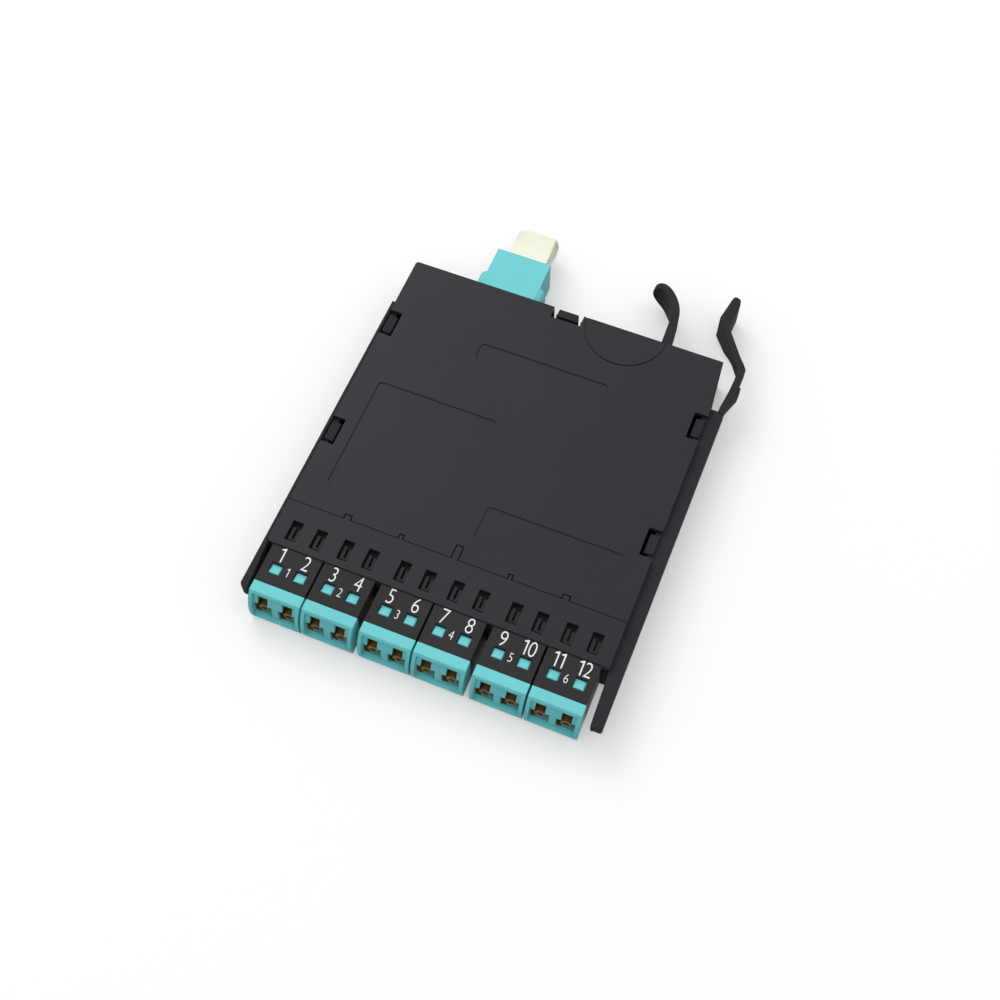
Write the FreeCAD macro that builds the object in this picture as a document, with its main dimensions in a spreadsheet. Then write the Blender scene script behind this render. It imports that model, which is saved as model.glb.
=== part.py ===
import FreeCAD, Part
import math
import os
import re

import Sketcher
from FreeCAD import Placement, Rotation, Vector

# Fibre cassette. Frame: X runs along the port row from port 1 to port 12, Y runs from the ports
# to the rear, Z is up. The origin is on the underside, on the centre line of the housing.
# All sizes are in millimetres.

SIZES = {
    # housing
    "housing_width": 84.6, "housing_depth": 86.8, "housing_height": 11.0,
    "cover_thickness": 1.2, "floor_thickness": 1.2, "wall_thickness": 1.5,
    "corner_cut": 0.5, "taper_length": 13.4, "taper_inset": 1.35,
    "strip_depth": 11.8, "seam_gap": 0.16,
    # snaps along both sides of the cover
    "snap_window_width": 3.3, "snap_window_length": 7.5, "snap_rear_place": 23.2,
    "snap_front_place": -10.7, "snap_hook_width": 2.2, "snap_hook_length": 5.2,
    "snap_hook_drop": 0.4, "snap_edge_gap": 0.3,
    # marks and recesses on the cover
    "rear_notch_width": 8.0, "rear_notch_depth": 3.2, "rear_tab_width": 5.2,
    "rear_tab_depth": 2.1, "rear_tab_drop": 0.4, "rear_tab_slope": 0.5,
    "key_pitch": 13.65, "key_gap": 0.28, "key_narrow": 1.3, "key_wide": 2.0,
    "key_short": 1.35, "key_long": 3.7,
    "thumb_mark_place": 15.4, "thumb_mark_radius": 10.6, "thumb_mark_width": 0.4,
    "recess_depth": 0.25, "recess_corner": 1.2,
    "direction_recess_width": 34.0, "direction_recess_depth": 5.1, "direction_recess_place": 23.7,
    "label_recess_width": 31.3, "label_recess_depth": 30.9,
    "label_recess_place_across": -20.35, "label_recess_place_along": -9.15,
    "plate_recess_width": 34.5, "plate_recess_depth": 9.0,
    "plate_recess_place_across": 19.15, "plate_recess_place_along": -20.45,
    # rails
    "left_rail_proud": 0.7, "left_rail_width": 2.1, "left_rail_height": 3.75,
    "left_rail_reach": 12.8, "left_rail_end": 29.6, "rail_tip_cut": 0.9,
    "right_rail_width": 3.3, "right_rail_height": 3.2, "right_rail_drop": 1.5,
    "right_rail_reach": 13.4, "right_rail_tip_width": 2.6, "right_rail_tip_cut": 0.35,
    # release arm, a blade that springs from the right rail
    "arm_root_across": 44.75, "arm_root_along": 30.4, "arm_thickness": 1.75,
    "arm_root_thickness": 1.5, "arm_elbow_across": 45.75, "arm_elbow_along": 44.3,
    "arm_pinch_across": 37.35, "arm_pinch_along": 56.2, "arm_tip_across": 38.45,
    "arm_tip_along": 63.6, "arm_paddle_height": 8.0, "arm_rise_along": 46.6,
    "arm_tooth_height": 1.0, "arm_tooth_start": 31.9, "arm_tooth_peak": 36.6,
    "arm_tooth_end": 38.8, "arm_seat_gap": 0.05, "arm_seat_lip": 0.25,
    # fixed finger at the rear
    "finger_root_across": 25.9, "finger_root_thickness": 2.7, "finger_tip_thickness": 1.6,
    "finger_bend_along": 54.6, "finger_bend_across": 24.7, "finger_tip_across": 18.3,
    "finger_tip_along": 61.0, "finger_paddle_height": 7.6,
    # front bays
    "group_pitch": 27.6, "pair_pitch": 13.25, "port_pitch": 6.25,
    "pocket_width": 2.7, "pocket_length": 5.2, "pocket_front_margin": 1.8,
    # duplex adapters
    "adapter_width": 12.7, "adapter_body_width": 11.8, "adapter_bottom": 0.3,
    "adapter_top": 10.6, "face_radius": 12.4, "face_reach": 15.0, "face_middle": 3.15,
    "flange_depth": 5.1, "face_recess_width": 10.9, "face_recess_depth": 0.9,
    "face_recess_bottom": 0.9, "face_recess_top": 9.9, "front_wall_depth": 2.5,
    "port_width": 4.6, "port_height": 4.6, "port_axis": 4.0, "latch_slot_width": 2.5,
    "latch_slot_top": 8.6, "body_top": 9.55, "body_step": 0.9, "rear_body_top": 8.1,
    "adapter_rear_reach": 12.4, "shell_wall": 0.45, "seat_gap": 0.05,
    # port cores, sleeves and inner plugs
    "core_back_wall": 2.6, "nose_diameter": 2.9, "nose_reach": 5.0, "nose_rear_reach": 3.6,
    "sleeve_recess": 0.3, "plug_setback": 4.8,
    "sleeve_diameter": 1.66, "sleeve_bore": 1.26, "sleeve_length": 11.4, "sleeve_slit": 0.3,
    "plug_size": 4.4, "plug_length": 8.6, "ferrule_diameter": 1.24, "ferrule_reach": 6.0,
    "plug_boot_diameter": 2.6, "plug_boot_length": 4.6,
    # number plates
    "plate_drop": 0.35, "plate_thickness": 1.05, "window_width": 2.6, "window_length": 2.5,
    "window_place": 5.75, "plate_tongue_width": 10.6, "plate_tongue_reach": 7.5,
    "plate_tongue_thickness": 0.65, "clip_width": 2.1, "clip_length": 3.7, "clip_offset": 0.1,
    "clip_drop": 0.8, "clip_slit_width": 0.6, "clip_slit_length": 2.8, "clip_margin": 0.2,
    # multi-fibre adapter at the rear
    "trunk_place": -17.1, "trunk_width": 14.6, "trunk_top": 10.4, "trunk_bottom": 0.4,
    "trunk_reach": 12.3, "trunk_collar_width": 17.3, "trunk_collar_depth": 2.9,
    "trunk_collar_slope": 1.55, "trunk_cavity_width": 12.5, "trunk_cavity_height": 7.7,
    "trunk_cavity_depth": 10.6, "trunk_inner_width": 12.4, "trunk_inner_reach": 12.0,
    "trunk_inner_cavity_width": 10.2, "trunk_inner_cavity_height": 6.4,
    "trunk_slot_width": 7.0, "trunk_slot_height": 3.0,
    # dust cap
    "cap_fit_gap": 0.3, "cap_width": 10.1, "cap_plug_depth": 8.4, "cap_grip_reach": 11.0,
    "cap_grip_height": 7.4, "cap_neck_height": 4.2, "cap_grip_lift": 0.9, "cap_crest_reach": 8.2,
    "cap_side_hollow": 0.7,
    # inner harness
    "trunk_plug_width": 9.6, "trunk_plug_height": 5.8, "trunk_plug_length": 11.0,
    "trunk_plug_proud": 3.0, "trunk_boot_length": 3.0, "ribbon_width": 4.4, "ribbon_height": 1.4,
    "ribbon_length": 3.0, "fanout_width": 14.0, "fanout_length": 6.0, "fanout_height": 4.6,
    "fibre_diameter": 0.9, "fibre_spacing": 1.05, "fibre_stagger": 1.1, "fibre_turn": 2.0,
    "fibre_front_turn": -14.0,
}

PORTS = 12
BAYS = 6
PORTS_PER_BAY = PORTS // BAYS
STRAIGHT_FIBRE = 3

document = FreeCAD.newDocument("FibreCassette")
sheet = document.addObject("Spreadsheet::Sheet", "Sizes")
for row, (alias, value) in enumerate(SIZES.items(), start=1):
    sheet.set(f"A{row}", alias)
    sheet.set(f"B{row}", str(value))
    sheet.setAlias(f"B{row}", alias)
document.recompute()

ALIAS = re.compile(r"\b(" + "|".join(sorted(SIZES, key=len, reverse=True)) + r")\b")


def cell(text):
    """Expression with every size named through the sheet."""
    return ALIAS.sub(r"Sizes.\1", str(text))


def value_of(text):
    """Number that an expression of sizes comes to."""
    return float(sheet.evalExpression(ALIAS.sub(r"\1", str(text))))


def bind(item, **properties):
    """Ties properties of an object to expressions of sizes."""
    for name, text in properties.items():
        item.setExpression(name.replace("__", "."), cell(text))


# places used by more than one piece, as expressions of the sizes
SIDE = "housing_width / 2"
REAR = "housing_depth / 2"
FRONT = "(0 - housing_depth / 2)"
SEAM = "(0 - housing_depth / 2 + strip_depth)"
PLATE_BASE = "(housing_height - cover_thickness)"
RAIL_TOP = "(housing_height - right_rail_drop)"
RAIL_BASE = "(housing_height - right_rail_drop - right_rail_height)"
FACE_CENTRE = "(0 - housing_depth / 2 - face_reach + face_radius)"
FLANGE_BACK = "(0 - housing_depth / 2 - face_reach + flange_depth)"
CORE_FRONT = "(0 - housing_depth / 2 - face_reach + front_wall_depth)"
BODY_STEP = "(0 - housing_depth / 2 - body_step)"
PORT_FLOOR = "(port_axis - port_height / 2)"
PORT_SHOULDER = "(port_axis + port_height / 2)"
ADAPTER_REAR = "(0 - housing_depth / 2 + adapter_rear_reach)"
SLEEVE_FRONT = "(0 - housing_depth / 2 - body_step - shell_wall - core_back_wall - nose_reach + sleeve_recess)"
PLUG_FRONT = "(0 - housing_depth / 2 + plug_setback)"
PLUG_BOOT_END = "(0 - housing_depth / 2 + plug_setback + plug_length + plug_boot_length)"
TRUNK_REAR = "(housing_depth / 2 + trunk_reach)"
TRUNK_MIDDLE = "((trunk_top + trunk_bottom) / 2)"
TRUNK_PLUG_END = "(housing_depth / 2 - trunk_inner_reach - trunk_plug_proud)"
FANOUT_BACK = "(housing_depth / 2 - trunk_inner_reach - trunk_plug_proud - trunk_boot_length - ribbon_length)"
FANOUT_FRONT = ("(housing_depth / 2 - trunk_inner_reach - trunk_plug_proud - trunk_boot_length"
                " - ribbon_length - fanout_length)")
OUTSIDE = "1"


def plane_of(body, role):
    """Origin plane of a body."""
    return next(item for item in body.Origin.OriginFeatures if item.Role == role)


def start_body(name):
    body = document.addObject("PartDesign::Body", name)
    body.Label = name
    return body


def start_sketch(body, name, role, lift):
    """Sketch on the body's own plane. XY lifts along +Z, XZ lifts along -Y, YZ lifts along +X."""
    sketch = body.newObject("Sketcher::SketchObject", name)
    sketch.AttachmentSupport = (plane_of(body, role), [""])
    sketch.MapMode = "FlatFace"
    bind(sketch, AttachmentOffset__Base__z=lift)
    return sketch


def place_point(sketch, geometry, end, across, along):
    """Ties one point of a sketch to its two distances from the origin."""
    for kind, text in (("DistanceX", across), ("DistanceY", along)):
        index = sketch.addConstraint(
            Sketcher.Constraint(kind, -1, 1, geometry, end, value_of(text)))
        sketch.setExpression(f"Constraints[{index}]", cell(text))


def polygon(sketch, corners):
    """Closed outline of straight edges, each corner a pair of expressions."""
    points = [Vector(value_of(across), value_of(along), 0) for across, along in corners]
    first = sketch.GeometryCount
    count = len(points)
    for index in range(count):
        sketch.addGeometry(Part.LineSegment(points[index], points[(index + 1) % count]))
    for index in range(count):
        following = first + (index + 1) % count
        sketch.addConstraint(Sketcher.Constraint("Coincident", first + index, 2, following, 1))
        place_point(sketch, first + index, 1, *corners[index])


def rectangle(sketch, left, right, low, high):
    polygon(sketch, [(left, low), (right, low), (right, high), (left, high)])


def rounded_rectangle(sketch, left, right, low, high, radius):
    """Rectangle with four equal round corners: straight edges joined by quarter arcs."""
    x0, x1, y0, y1 = (value_of(text) for text in (left, right, low, high))
    r = value_of(radius)
    first = sketch.GeometryCount
    sides = (((x0 + r, y0), (x1 - r, y0)), ((x1, y0 + r), (x1, y1 - r)),
             ((x1 - r, y1), (x0 + r, y1)), ((x0, y1 - r), (x0, y0 + r)))
    for start, stop in sides:
        sketch.addGeometry(Part.LineSegment(Vector(*start, 0), Vector(*stop, 0)))
    centres = ((x1 - r, y0 + r), (x1 - r, y1 - r), (x0 + r, y1 - r), (x0 + r, y0 + r))
    for turn, centre in enumerate(centres):
        circle = Part.Circle(Vector(*centre, 0), Vector(0, 0, 1), r)
        angle = (turn - 1) * math.pi / 2
        sketch.addGeometry(Part.ArcOfCircle(circle, angle, angle + math.pi / 2))
    for turn in range(4):
        arc = first + 4 + turn
        sketch.addConstraint(Sketcher.Constraint("Tangent", first + turn, 2, arc, 1))
        sketch.addConstraint(Sketcher.Constraint("Tangent", arc, 2, first + (turn + 1) % 4, 1))
        kind = "Horizontal" if turn % 2 == 0 else "Vertical"
        sketch.addConstraint(Sketcher.Constraint(kind, first + turn))
        if turn:
            sketch.addConstraint(Sketcher.Constraint("Equal", first + 4, arc))
    index = sketch.addConstraint(Sketcher.Constraint("Radius", first + 4, r))
    sketch.setExpression(f"Constraints[{index}]", cell(radius))
    ties = (("DistanceY", 0, low), ("DistanceX", 1, right), ("DistanceY", 2, high), ("DistanceX", 3, left))
    for kind, side, text in ties:
        index = sketch.addConstraint(
            Sketcher.Constraint(kind, -1, 1, first + side, 1, value_of(text)))
        sketch.setExpression(f"Constraints[{index}]", cell(text))


def circle(sketch, across, along, diameter):
    centre = Vector(value_of(across), value_of(along), 0)
    index = sketch.addGeometry(Part.Circle(centre, Vector(0, 0, 1), value_of(diameter) / 2))
    place_point(sketch, index, 3, across, along)
    tie = sketch.addConstraint(Sketcher.Constraint("Diameter", index, value_of(diameter)))
    sketch.setExpression(f"Constraints[{tie}]", cell(diameter))


def add_pad(body, sketch, length, middle=False, reverse=False):
    pad = body.newObject("PartDesign::Pad", sketch.Name + "_pad")
    pad.Profile = sketch
    pad.SideType = "Symmetric" if middle else "One side"
    pad.Reversed = reverse
    bind(pad, Length=length)
    sketch.Visibility = False
    return pad


def add_pocket(body, sketch, length, middle=False, reverse=False):
    pocket = body.newObject("PartDesign::Pocket", sketch.Name + "_pocket")
    pocket.Profile = sketch
    pocket.SideType = "Symmetric" if middle else "One side"
    pocket.Reversed = reverse
    bind(pocket, Length=length)
    sketch.Visibility = False
    return pocket


def box(name, left, right, front, back, bottom, top):
    """Plain block between six faces."""
    item = document.addObject("Part::Box", name)
    bind(item, Length=f"({right}) - ({left})", Width=f"({back}) - ({front})",
         Height=f"({top}) - ({bottom})", Placement__Base__x=left, Placement__Base__y=front,
         Placement__Base__z=bottom)
    return item


def bay_place(bay):
    """Expression for the middle of a bay: three groups of two bays."""
    group = bay // 2 - 1
    side = bay % 2 - 0.5
    return f"(({group}) * group_pitch + ({side}) * pair_pitch)"


def port_place(port):
    """Expression for the middle of a port, counted along the row."""
    side = port % PORTS_PER_BAY - 0.5
    return f"({bay_place(port // PORTS_PER_BAY)} + ({side}) * port_pitch)"


def finished(item, label):
    item.Label = label
    pieces.append(item)
    return item


pieces = []


def housing_outline(inset):
    """Plan of the housing, drawn in by an inset, with the tapered rear corner on the right."""
    side = f"({SIDE} - {inset})"
    rear = f"({REAR} - {inset})"
    return [(f"(0 - {side})", f"({FRONT} + {inset})"), (side, f"({FRONT} + {inset})"),
            (side, f"({REAR} - taper_length)"), (f"({side} - taper_inset)", rear),
            (f"(0 - {side} + corner_cut)", rear), (f"(0 - {side})", f"({rear} - corner_cut)")]


def snap_places():
    """Each snap as its side of the housing, -1 or 1, and its place along it."""
    return [(side, place) for side in (-1, 1) for place in ("snap_rear_place", "snap_front_place")]


def make_housing_tray():
    """Open tray: floor, walls, a front wall with six bays and a rear wall with the trunk opening."""
    body = start_body("housing_tray")
    outline = start_sketch(body, "tray_outline", "XY_Plane", "0")
    polygon(outline, housing_outline("0"))
    add_pad(body, outline, PLATE_BASE)
    hollow = start_sketch(body, "tray_hollow", "XY_Plane", PLATE_BASE)
    polygon(hollow, housing_outline("wall_thickness"))
    add_pocket(body, hollow, f"{PLATE_BASE} - floor_thickness")
    bays = start_sketch(body, "tray_bays", "XZ_Plane", f"0 - {FRONT} + {OUTSIDE}")
    for bay in range(BAYS):
        half = "(adapter_body_width / 2 + seat_gap)"
        rectangle(bays, f"{bay_place(bay)} - {half}", f"{bay_place(bay)} + {half}",
                  "floor_thickness", f"{PLATE_BASE} + {OUTSIDE}")
    add_pocket(body, bays, f"wall_thickness + 2 * {OUTSIDE}")
    rear = start_sketch(body, "tray_trunk_opening", "XZ_Plane", f"0 - {REAR} + wall_thickness + {OUTSIDE}")
    half = "(trunk_inner_width / 2 + seat_gap)"
    rectangle(rear, f"trunk_place - {half}", f"trunk_place + {half}", "floor_thickness",
              f"{PLATE_BASE} + {OUTSIDE}")
    add_pocket(body, rear, f"wall_thickness + 2 * {OUTSIDE}")
    return body


def make_left_rail():
    """Slide rail flush with the cover, which runs on past the front as a tongue."""
    body = start_body("left_rail")
    outer = f"(0 - {SIDE} - left_rail_proud)"
    inner = f"({outer} + left_rail_width)"
    tip = f"({FRONT} - left_rail_reach)"
    cover_side = f"(0 - {SIDE} - seat_gap)"
    top = start_sketch(body, "left_rail_top", "XY_Plane", "housing_height - left_rail_height")
    polygon(top, [(outer, "left_rail_end"), (outer, f"{tip} + rail_tip_cut"),
                  (f"{outer} + rail_tip_cut / 2", f"{tip} + rail_tip_cut / 4"),
                  (f"{outer} + rail_tip_cut", tip), (inner, tip),
                  (inner, f"{FRONT} - seat_gap"), (cover_side, f"{FRONT} - seat_gap"),
                  (cover_side, "left_rail_end")])
    add_pad(body, top, "left_rail_height")
    root = start_sketch(body, "left_rail_root", "XY_Plane", "housing_height - left_rail_height")
    rectangle(root, f"{outer}", f"0 - {SIDE} + wall_thickness / 2", f"{FRONT}", "left_rail_end")
    add_pad(body, root, "left_rail_height - cover_thickness")
    front = start_sketch(body, "left_rail_front_root", "XY_Plane", "housing_height - left_rail_height")
    rectangle(front, outer, inner, f"{FRONT} - 2 * seat_gap", f"{FRONT} + wall_thickness / 2")
    add_pad(body, front, "left_rail_height - cover_thickness")
    return body


def make_right_rail():
    """Slide rail below the cover line, narrowing to its front tip, with a round seat at the rear."""
    body = start_body("right_rail")
    outer = f"({SIDE} + right_rail_width)"
    tip = f"({FRONT} - right_rail_reach)"
    plan = start_sketch(body, "right_rail_plan", "XY_Plane", RAIL_BASE)
    polygon(plan, [(f"{SIDE} - wall_thickness / 2", f"{FRONT}"), (SIDE, FRONT),
                   (f"{outer} - right_rail_tip_width", f"{tip} + 2 * right_rail_tip_width"),
                   (f"{outer} - right_rail_tip_width", f"{tip} + right_rail_tip_cut"),
                   (f"{outer} - right_rail_tip_width + right_rail_tip_cut", tip),
                   (f"{outer} - right_rail_tip_cut", tip), (outer, f"{tip} + right_rail_tip_cut"),
                   (outer, "arm_root_along - arm_seat_lip"), (SIDE, "arm_root_along - arm_seat_lip"),
                   (SIDE, f"{REAR} - taper_length"),
                   (f"{SIDE} - wall_thickness / 2", f"{REAR} - taper_length")])
    add_pad(body, plan, "right_rail_height")
    seat = start_sketch(body, "right_rail_seat", "XY_Plane", RAIL_TOP)
    circle(seat, "arm_root_across", "arm_root_along", "arm_root_thickness + 2 * arm_seat_gap")
    add_pocket(body, seat, "right_rail_height")
    return body


def make_snap_hook(side, place, index):
    """Wedge hook on the top of a side wall, reaching inward through the cover's window."""
    body = start_body(f"snap_hook_{index}")
    outer = f"({SIDE} - snap_edge_gap)"
    inner = f"({outer} - snap_hook_width)"
    bottom = f"({PLATE_BASE} - cover_thickness)"
    top = "(housing_height - snap_hook_drop)"
    profile = start_sketch(body, f"hook_profile_{index}", "XZ_Plane", f"0 - ({place})")
    corners = [(outer, bottom), (outer, top), (inner, f"{top} - snap_hook_drop"),
               (inner, f"{PLATE_BASE} - snap_hook_drop"), (f"{SIDE} - wall_thickness", bottom)]
    polygon(profile, [(f"({side}) * ({across})", up) for across, up in corners])
    add_pad(body, profile, "snap_hook_length", middle=True)
    return body


def make_rear_tab():
    """Tab of the rear wall that stands in the cover's rear notch, wider at its root."""
    body = start_body("rear_tab")
    plan = start_sketch(body, "rear_tab_plan", "XY_Plane", "floor_thickness")
    half = "rear_tab_width / 2"
    polygon(plan, [(f"0 - {half}", f"{REAR} - rear_tab_depth"),
                   (f"{half} + rear_tab_slope / 2", f"{REAR} - rear_tab_depth"),
                   (half, REAR), (f"0 - {half}", REAR)])
    add_pad(body, plan, "housing_height - rear_tab_drop - floor_thickness")
    return body


def blade(outline, top, bottom_line):
    """Upright blade: an outline in plan, raised from the line of its lower edge to its top."""
    face = Part.Face(outline)
    solid = face.extrude(Vector(0, 0, top))
    reach = max(abs(vertex.Point.x) for vertex in solid.Vertexes) + 10
    rear = max(vertex.Point.y for vertex in solid.Vertexes) + 10
    points = [Vector(-reach, along, up) for along, up in bottom_line]
    points += [Vector(-reach, rear, bottom_line[-1][1]), Vector(-reach, rear, -1),
               Vector(-reach, bottom_line[0][0], -1), points[0]]
    below = Part.Face(Part.makePolygon(points)).extrude(Vector(2 * reach, 0, 0))
    return solid.cut(below).removeSplitter()


def make_fixed_finger():
    """Curved blade on the rear wall: two arcs a side, thinner and deeper towards its tip."""
    top = value_of(RAIL_TOP)
    root = value_of("finger_root_thickness") / 2
    tip = value_of("finger_tip_thickness") / 2
    middle = (root + tip) / 2
    start = Vector(value_of("finger_root_across"), value_of(f"{REAR} - wall_thickness / 2"), 0)
    bend = Vector(value_of("finger_bend_across"), value_of("finger_bend_along"), 0)
    end = Vector(value_of("finger_tip_across"), value_of("finger_tip_along"), 0)
    sway = Vector(0.25, 0, 0)
    knee = Vector(math.cos(math.radians(45)), math.sin(math.radians(45)), 0)
    lean = Vector(math.cos(math.radians(10)), math.sin(math.radians(10)), 0)
    tilt = Vector(math.sin(math.radians(20)), math.cos(math.radians(20)), 0)
    half_way = (start + bend) / 2
    crown = bend + (end - bend) / 2 + Vector(1.2, 1.0, 0)

    def offset(point, direction, amount):
        return point + direction * amount

    outer = [offset(start, Vector(1, 0, 0), root), offset(half_way + sway, Vector(1, 0, 0), (root + middle) / 2),
             offset(bend, lean, middle), offset(crown, knee, middle), offset(end, tilt, tip)]
    inner = [offset(end, tilt, -tip), offset(crown, knee, -middle), offset(bend, lean, -middle),
             offset(half_way + sway, Vector(1, 0, 0), -(root + middle) / 2), offset(start, Vector(1, 0, 0), -root)]
    nose = end + Vector(-tilt.y, tilt.x, 0) * tip
    edges = [Part.Arc(outer[0], outer[1], outer[2]).toShape(), Part.Arc(outer[2], outer[3], outer[4]).toShape(),
             Part.Arc(outer[4], nose, inner[0]).toShape(), Part.Arc(inner[0], inner[1], inner[2]).toShape(),
             Part.Arc(inner[2], inner[3], inner[4]).toShape(), Part.makeLine(inner[4], outer[0])]
    low = top - value_of("finger_paddle_height")
    rail_base = value_of(RAIL_BASE)
    rise = value_of("finger_bend_along")
    line = [(start.y - 1, rail_base), (value_of(REAR) + 2, rail_base), (rise - 1, low + 2.2),
            (rise + 3, low + 0.4), (end.y, low)]
    feature = document.addObject("Part::Feature", "fixed_finger")
    feature.Shape = blade(Part.Wire(Part.__sortEdges__(edges)), top, line)
    return feature


def make_release_arm():
    """Sprung blade: knuckle at the root, catch tooth, elbow, pinch point and tip."""
    top = value_of(RAIL_TOP)
    root = Vector(value_of("arm_root_across"), value_of("arm_root_along"), 0)
    elbow = Vector(value_of("arm_elbow_across"), value_of("arm_elbow_along"), 0)
    pinch = Vector(value_of("arm_pinch_across"), value_of("arm_pinch_along"), 0)
    tip = Vector(value_of("arm_tip_across"), value_of("arm_tip_along"), 0)
    half = value_of("arm_thickness") / 2
    root_half = value_of("arm_root_thickness") / 2

    def normal(start, stop):
        run = (stop - start).normalize()
        return Vector(run.y, -run.x, 0)

    def corner(before, at, after, amount):
        first, second = normal(before, at), normal(at, after)
        bisector = (first + second).normalize()
        return at + bisector * (amount / bisector.dot(first))

    first = normal(root, elbow)
    last = normal(pinch, tip)

    def outer_at(along, proud=0.0):
        share = (along - root.y) / (elbow.y - root.y)
        middle = root + (elbow - root) * share
        return middle + first * (root_half + (half - root_half) * share + proud)

    tooth = value_of("arm_tooth_height")
    start, peak, stop = (value_of(f"arm_tooth_{word}") for word in ("start", "peak", "end"))
    points = [root + first * root_half, outer_at(start), outer_at(peak, tooth), outer_at(stop, tooth),
              outer_at(stop + 0.1), corner(root, elbow, pinch, half), corner(elbow, pinch, tip, half),
              tip + last * half]
    inner = [tip - last * half, corner(elbow, pinch, tip, -half), corner(root, elbow, pinch, -half),
             root - first * root_half]
    edges = [Part.makeLine(a, b) for a, b in zip(points, points[1:])]
    nose = tip + (tip - pinch).normalize() * half
    edges.append(Part.Arc(points[-1], nose, inner[0]).toShape())
    edges += [Part.makeLine(a, b) for a, b in zip(inner, inner[1:])]
    heel = root - (elbow - root).normalize() * root_half
    edges.append(Part.Arc(inner[-1], heel, points[0]).toShape())
    low = top - value_of("arm_paddle_height")
    rise = value_of("arm_rise_along")
    rail_base = value_of(RAIL_BASE)
    line = [(root.y - 2, rail_base), (rise, rail_base), (rise + 5, low + 1.7), (pinch.y, low),
            (tip.y, low)]
    feature = document.addObject("Part::Feature", "release_arm")
    feature.Shape = blade(Part.Wire(edges), top, line)
    return finished(feature, "release_arm")


def make_base_housing():
    """Tray, rails, hooks, rear tab and fixed finger, moulded as one piece."""
    shapes = [make_housing_tray(), make_left_rail(), make_right_rail(), make_rear_tab(),
              make_fixed_finger()]
    for index, (side, place) in enumerate(snap_places(), start=1):
        shapes.append(make_snap_hook(side, place, index))
    fusion = document.addObject("Part::MultiFuse", "base_housing")
    fusion.Shapes = shapes
    fusion.Refine = True
    return finished(fusion, "base_housing")


def key_sizes():
    """Each key as its place in steps from the middle, its width and its length."""
    return [(-2, "key_wide", "key_short"), (-1, "key_narrow", "key_short"), (0, "key_wide", "key_long"),
            (1, "key_narrow", "key_short"), (2, "key_wide", "key_short")]


def make_top_cover():
    """Cover plate with snap windows, a rear notch, five key notches and shallow recesses."""
    body = start_body("top_cover")
    front = f"({SEAM} + seam_gap / 2)"
    outline = start_sketch(body, "cover_outline", "XY_Plane", PLATE_BASE)
    polygon(outline, [(f"0 - {SIDE}", front), (SIDE, front)] + housing_outline("0")[2:])
    add_pad(body, outline, "cover_thickness")
    openings = start_sketch(body, "cover_openings", "XY_Plane", "housing_height")
    for side, place in snap_places():
        edges = [f"({side}) * ({SIDE} - snap_window_width)", f"({side}) * ({SIDE} + {OUTSIDE})"]
        left, right = edges if side > 0 else reversed(edges)
        rectangle(openings, left, right, f"{place} - snap_window_length / 2", f"{place} + snap_window_length / 2")
    rectangle(openings, "0 - rear_notch_width / 2", "rear_notch_width / 2", f"{REAR} - rear_notch_depth",
              f"{REAR} + {OUTSIDE}")
    for step, width, length in key_sizes():
        rectangle(openings, f"({step}) * key_pitch - {width} / 2", f"({step}) * key_pitch + {width} / 2",
                  f"{front} - {OUTSIDE}", f"{SEAM} + {length}")
    add_pocket(body, openings, "cover_thickness")
    recesses = start_sketch(body, "cover_recesses", "XY_Plane", "housing_height")
    for width, depth, across, along in (
            ("direction_recess_width", "direction_recess_depth", "0", "direction_recess_place"),
            ("label_recess_width", "label_recess_depth", "label_recess_place_across", "label_recess_place_along"),
            ("plate_recess_width", "plate_recess_depth", "plate_recess_place_across",
             "plate_recess_place_along")):
        rounded_rectangle(recesses, f"{across} - {width} / 2", f"{across} + {width} / 2",
                          f"{along} - {depth} / 2", f"{along} + {depth} / 2", "recess_corner")
    add_pocket(body, recesses, "recess_depth")
    mark = start_sketch(body, "cover_thumb_mark", "XY_Plane", "housing_height")
    for sign in (1, -1):
        circle(mark, "thumb_mark_place", REAR, f"2 * thumb_mark_radius + ({sign}) * thumb_mark_width")
    add_pocket(body, mark, "recess_depth")
    return finished(body, "top_cover")


def make_front_strip():
    """Strip over the bays with a pocket above each port and five keys that reach into the cover."""
    body = start_body("front_strip")
    back = f"({SEAM} - seam_gap / 2)"
    outline = start_sketch(body, "strip_outline", "XY_Plane", PLATE_BASE)
    rectangle(outline, f"0 - {SIDE}", SIDE, FRONT, back)
    add_pad(body, outline, "cover_thickness")
    keys = start_sketch(body, "strip_keys", "XY_Plane", PLATE_BASE)
    for step, width, length in key_sizes():
        rectangle(keys, f"({step}) * key_pitch - {width} / 2 + key_gap",
                  f"({step}) * key_pitch + {width} / 2 - key_gap", f"{back} - {OUTSIDE}",
                  f"{SEAM} + {length} - key_gap")
    add_pad(body, keys, "cover_thickness")
    pockets = start_sketch(body, "strip_pockets", "XY_Plane", "housing_height")
    for port in range(PORTS):
        rectangle(pockets, f"{port_place(port)} - pocket_width / 2", f"{port_place(port)} + pocket_width / 2",
                  f"{FRONT} + pocket_front_margin", f"{FRONT} + pocket_front_margin + pocket_length")
    add_pocket(body, pockets, "cover_thickness")
    return finished(body, "front_strip")


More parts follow.
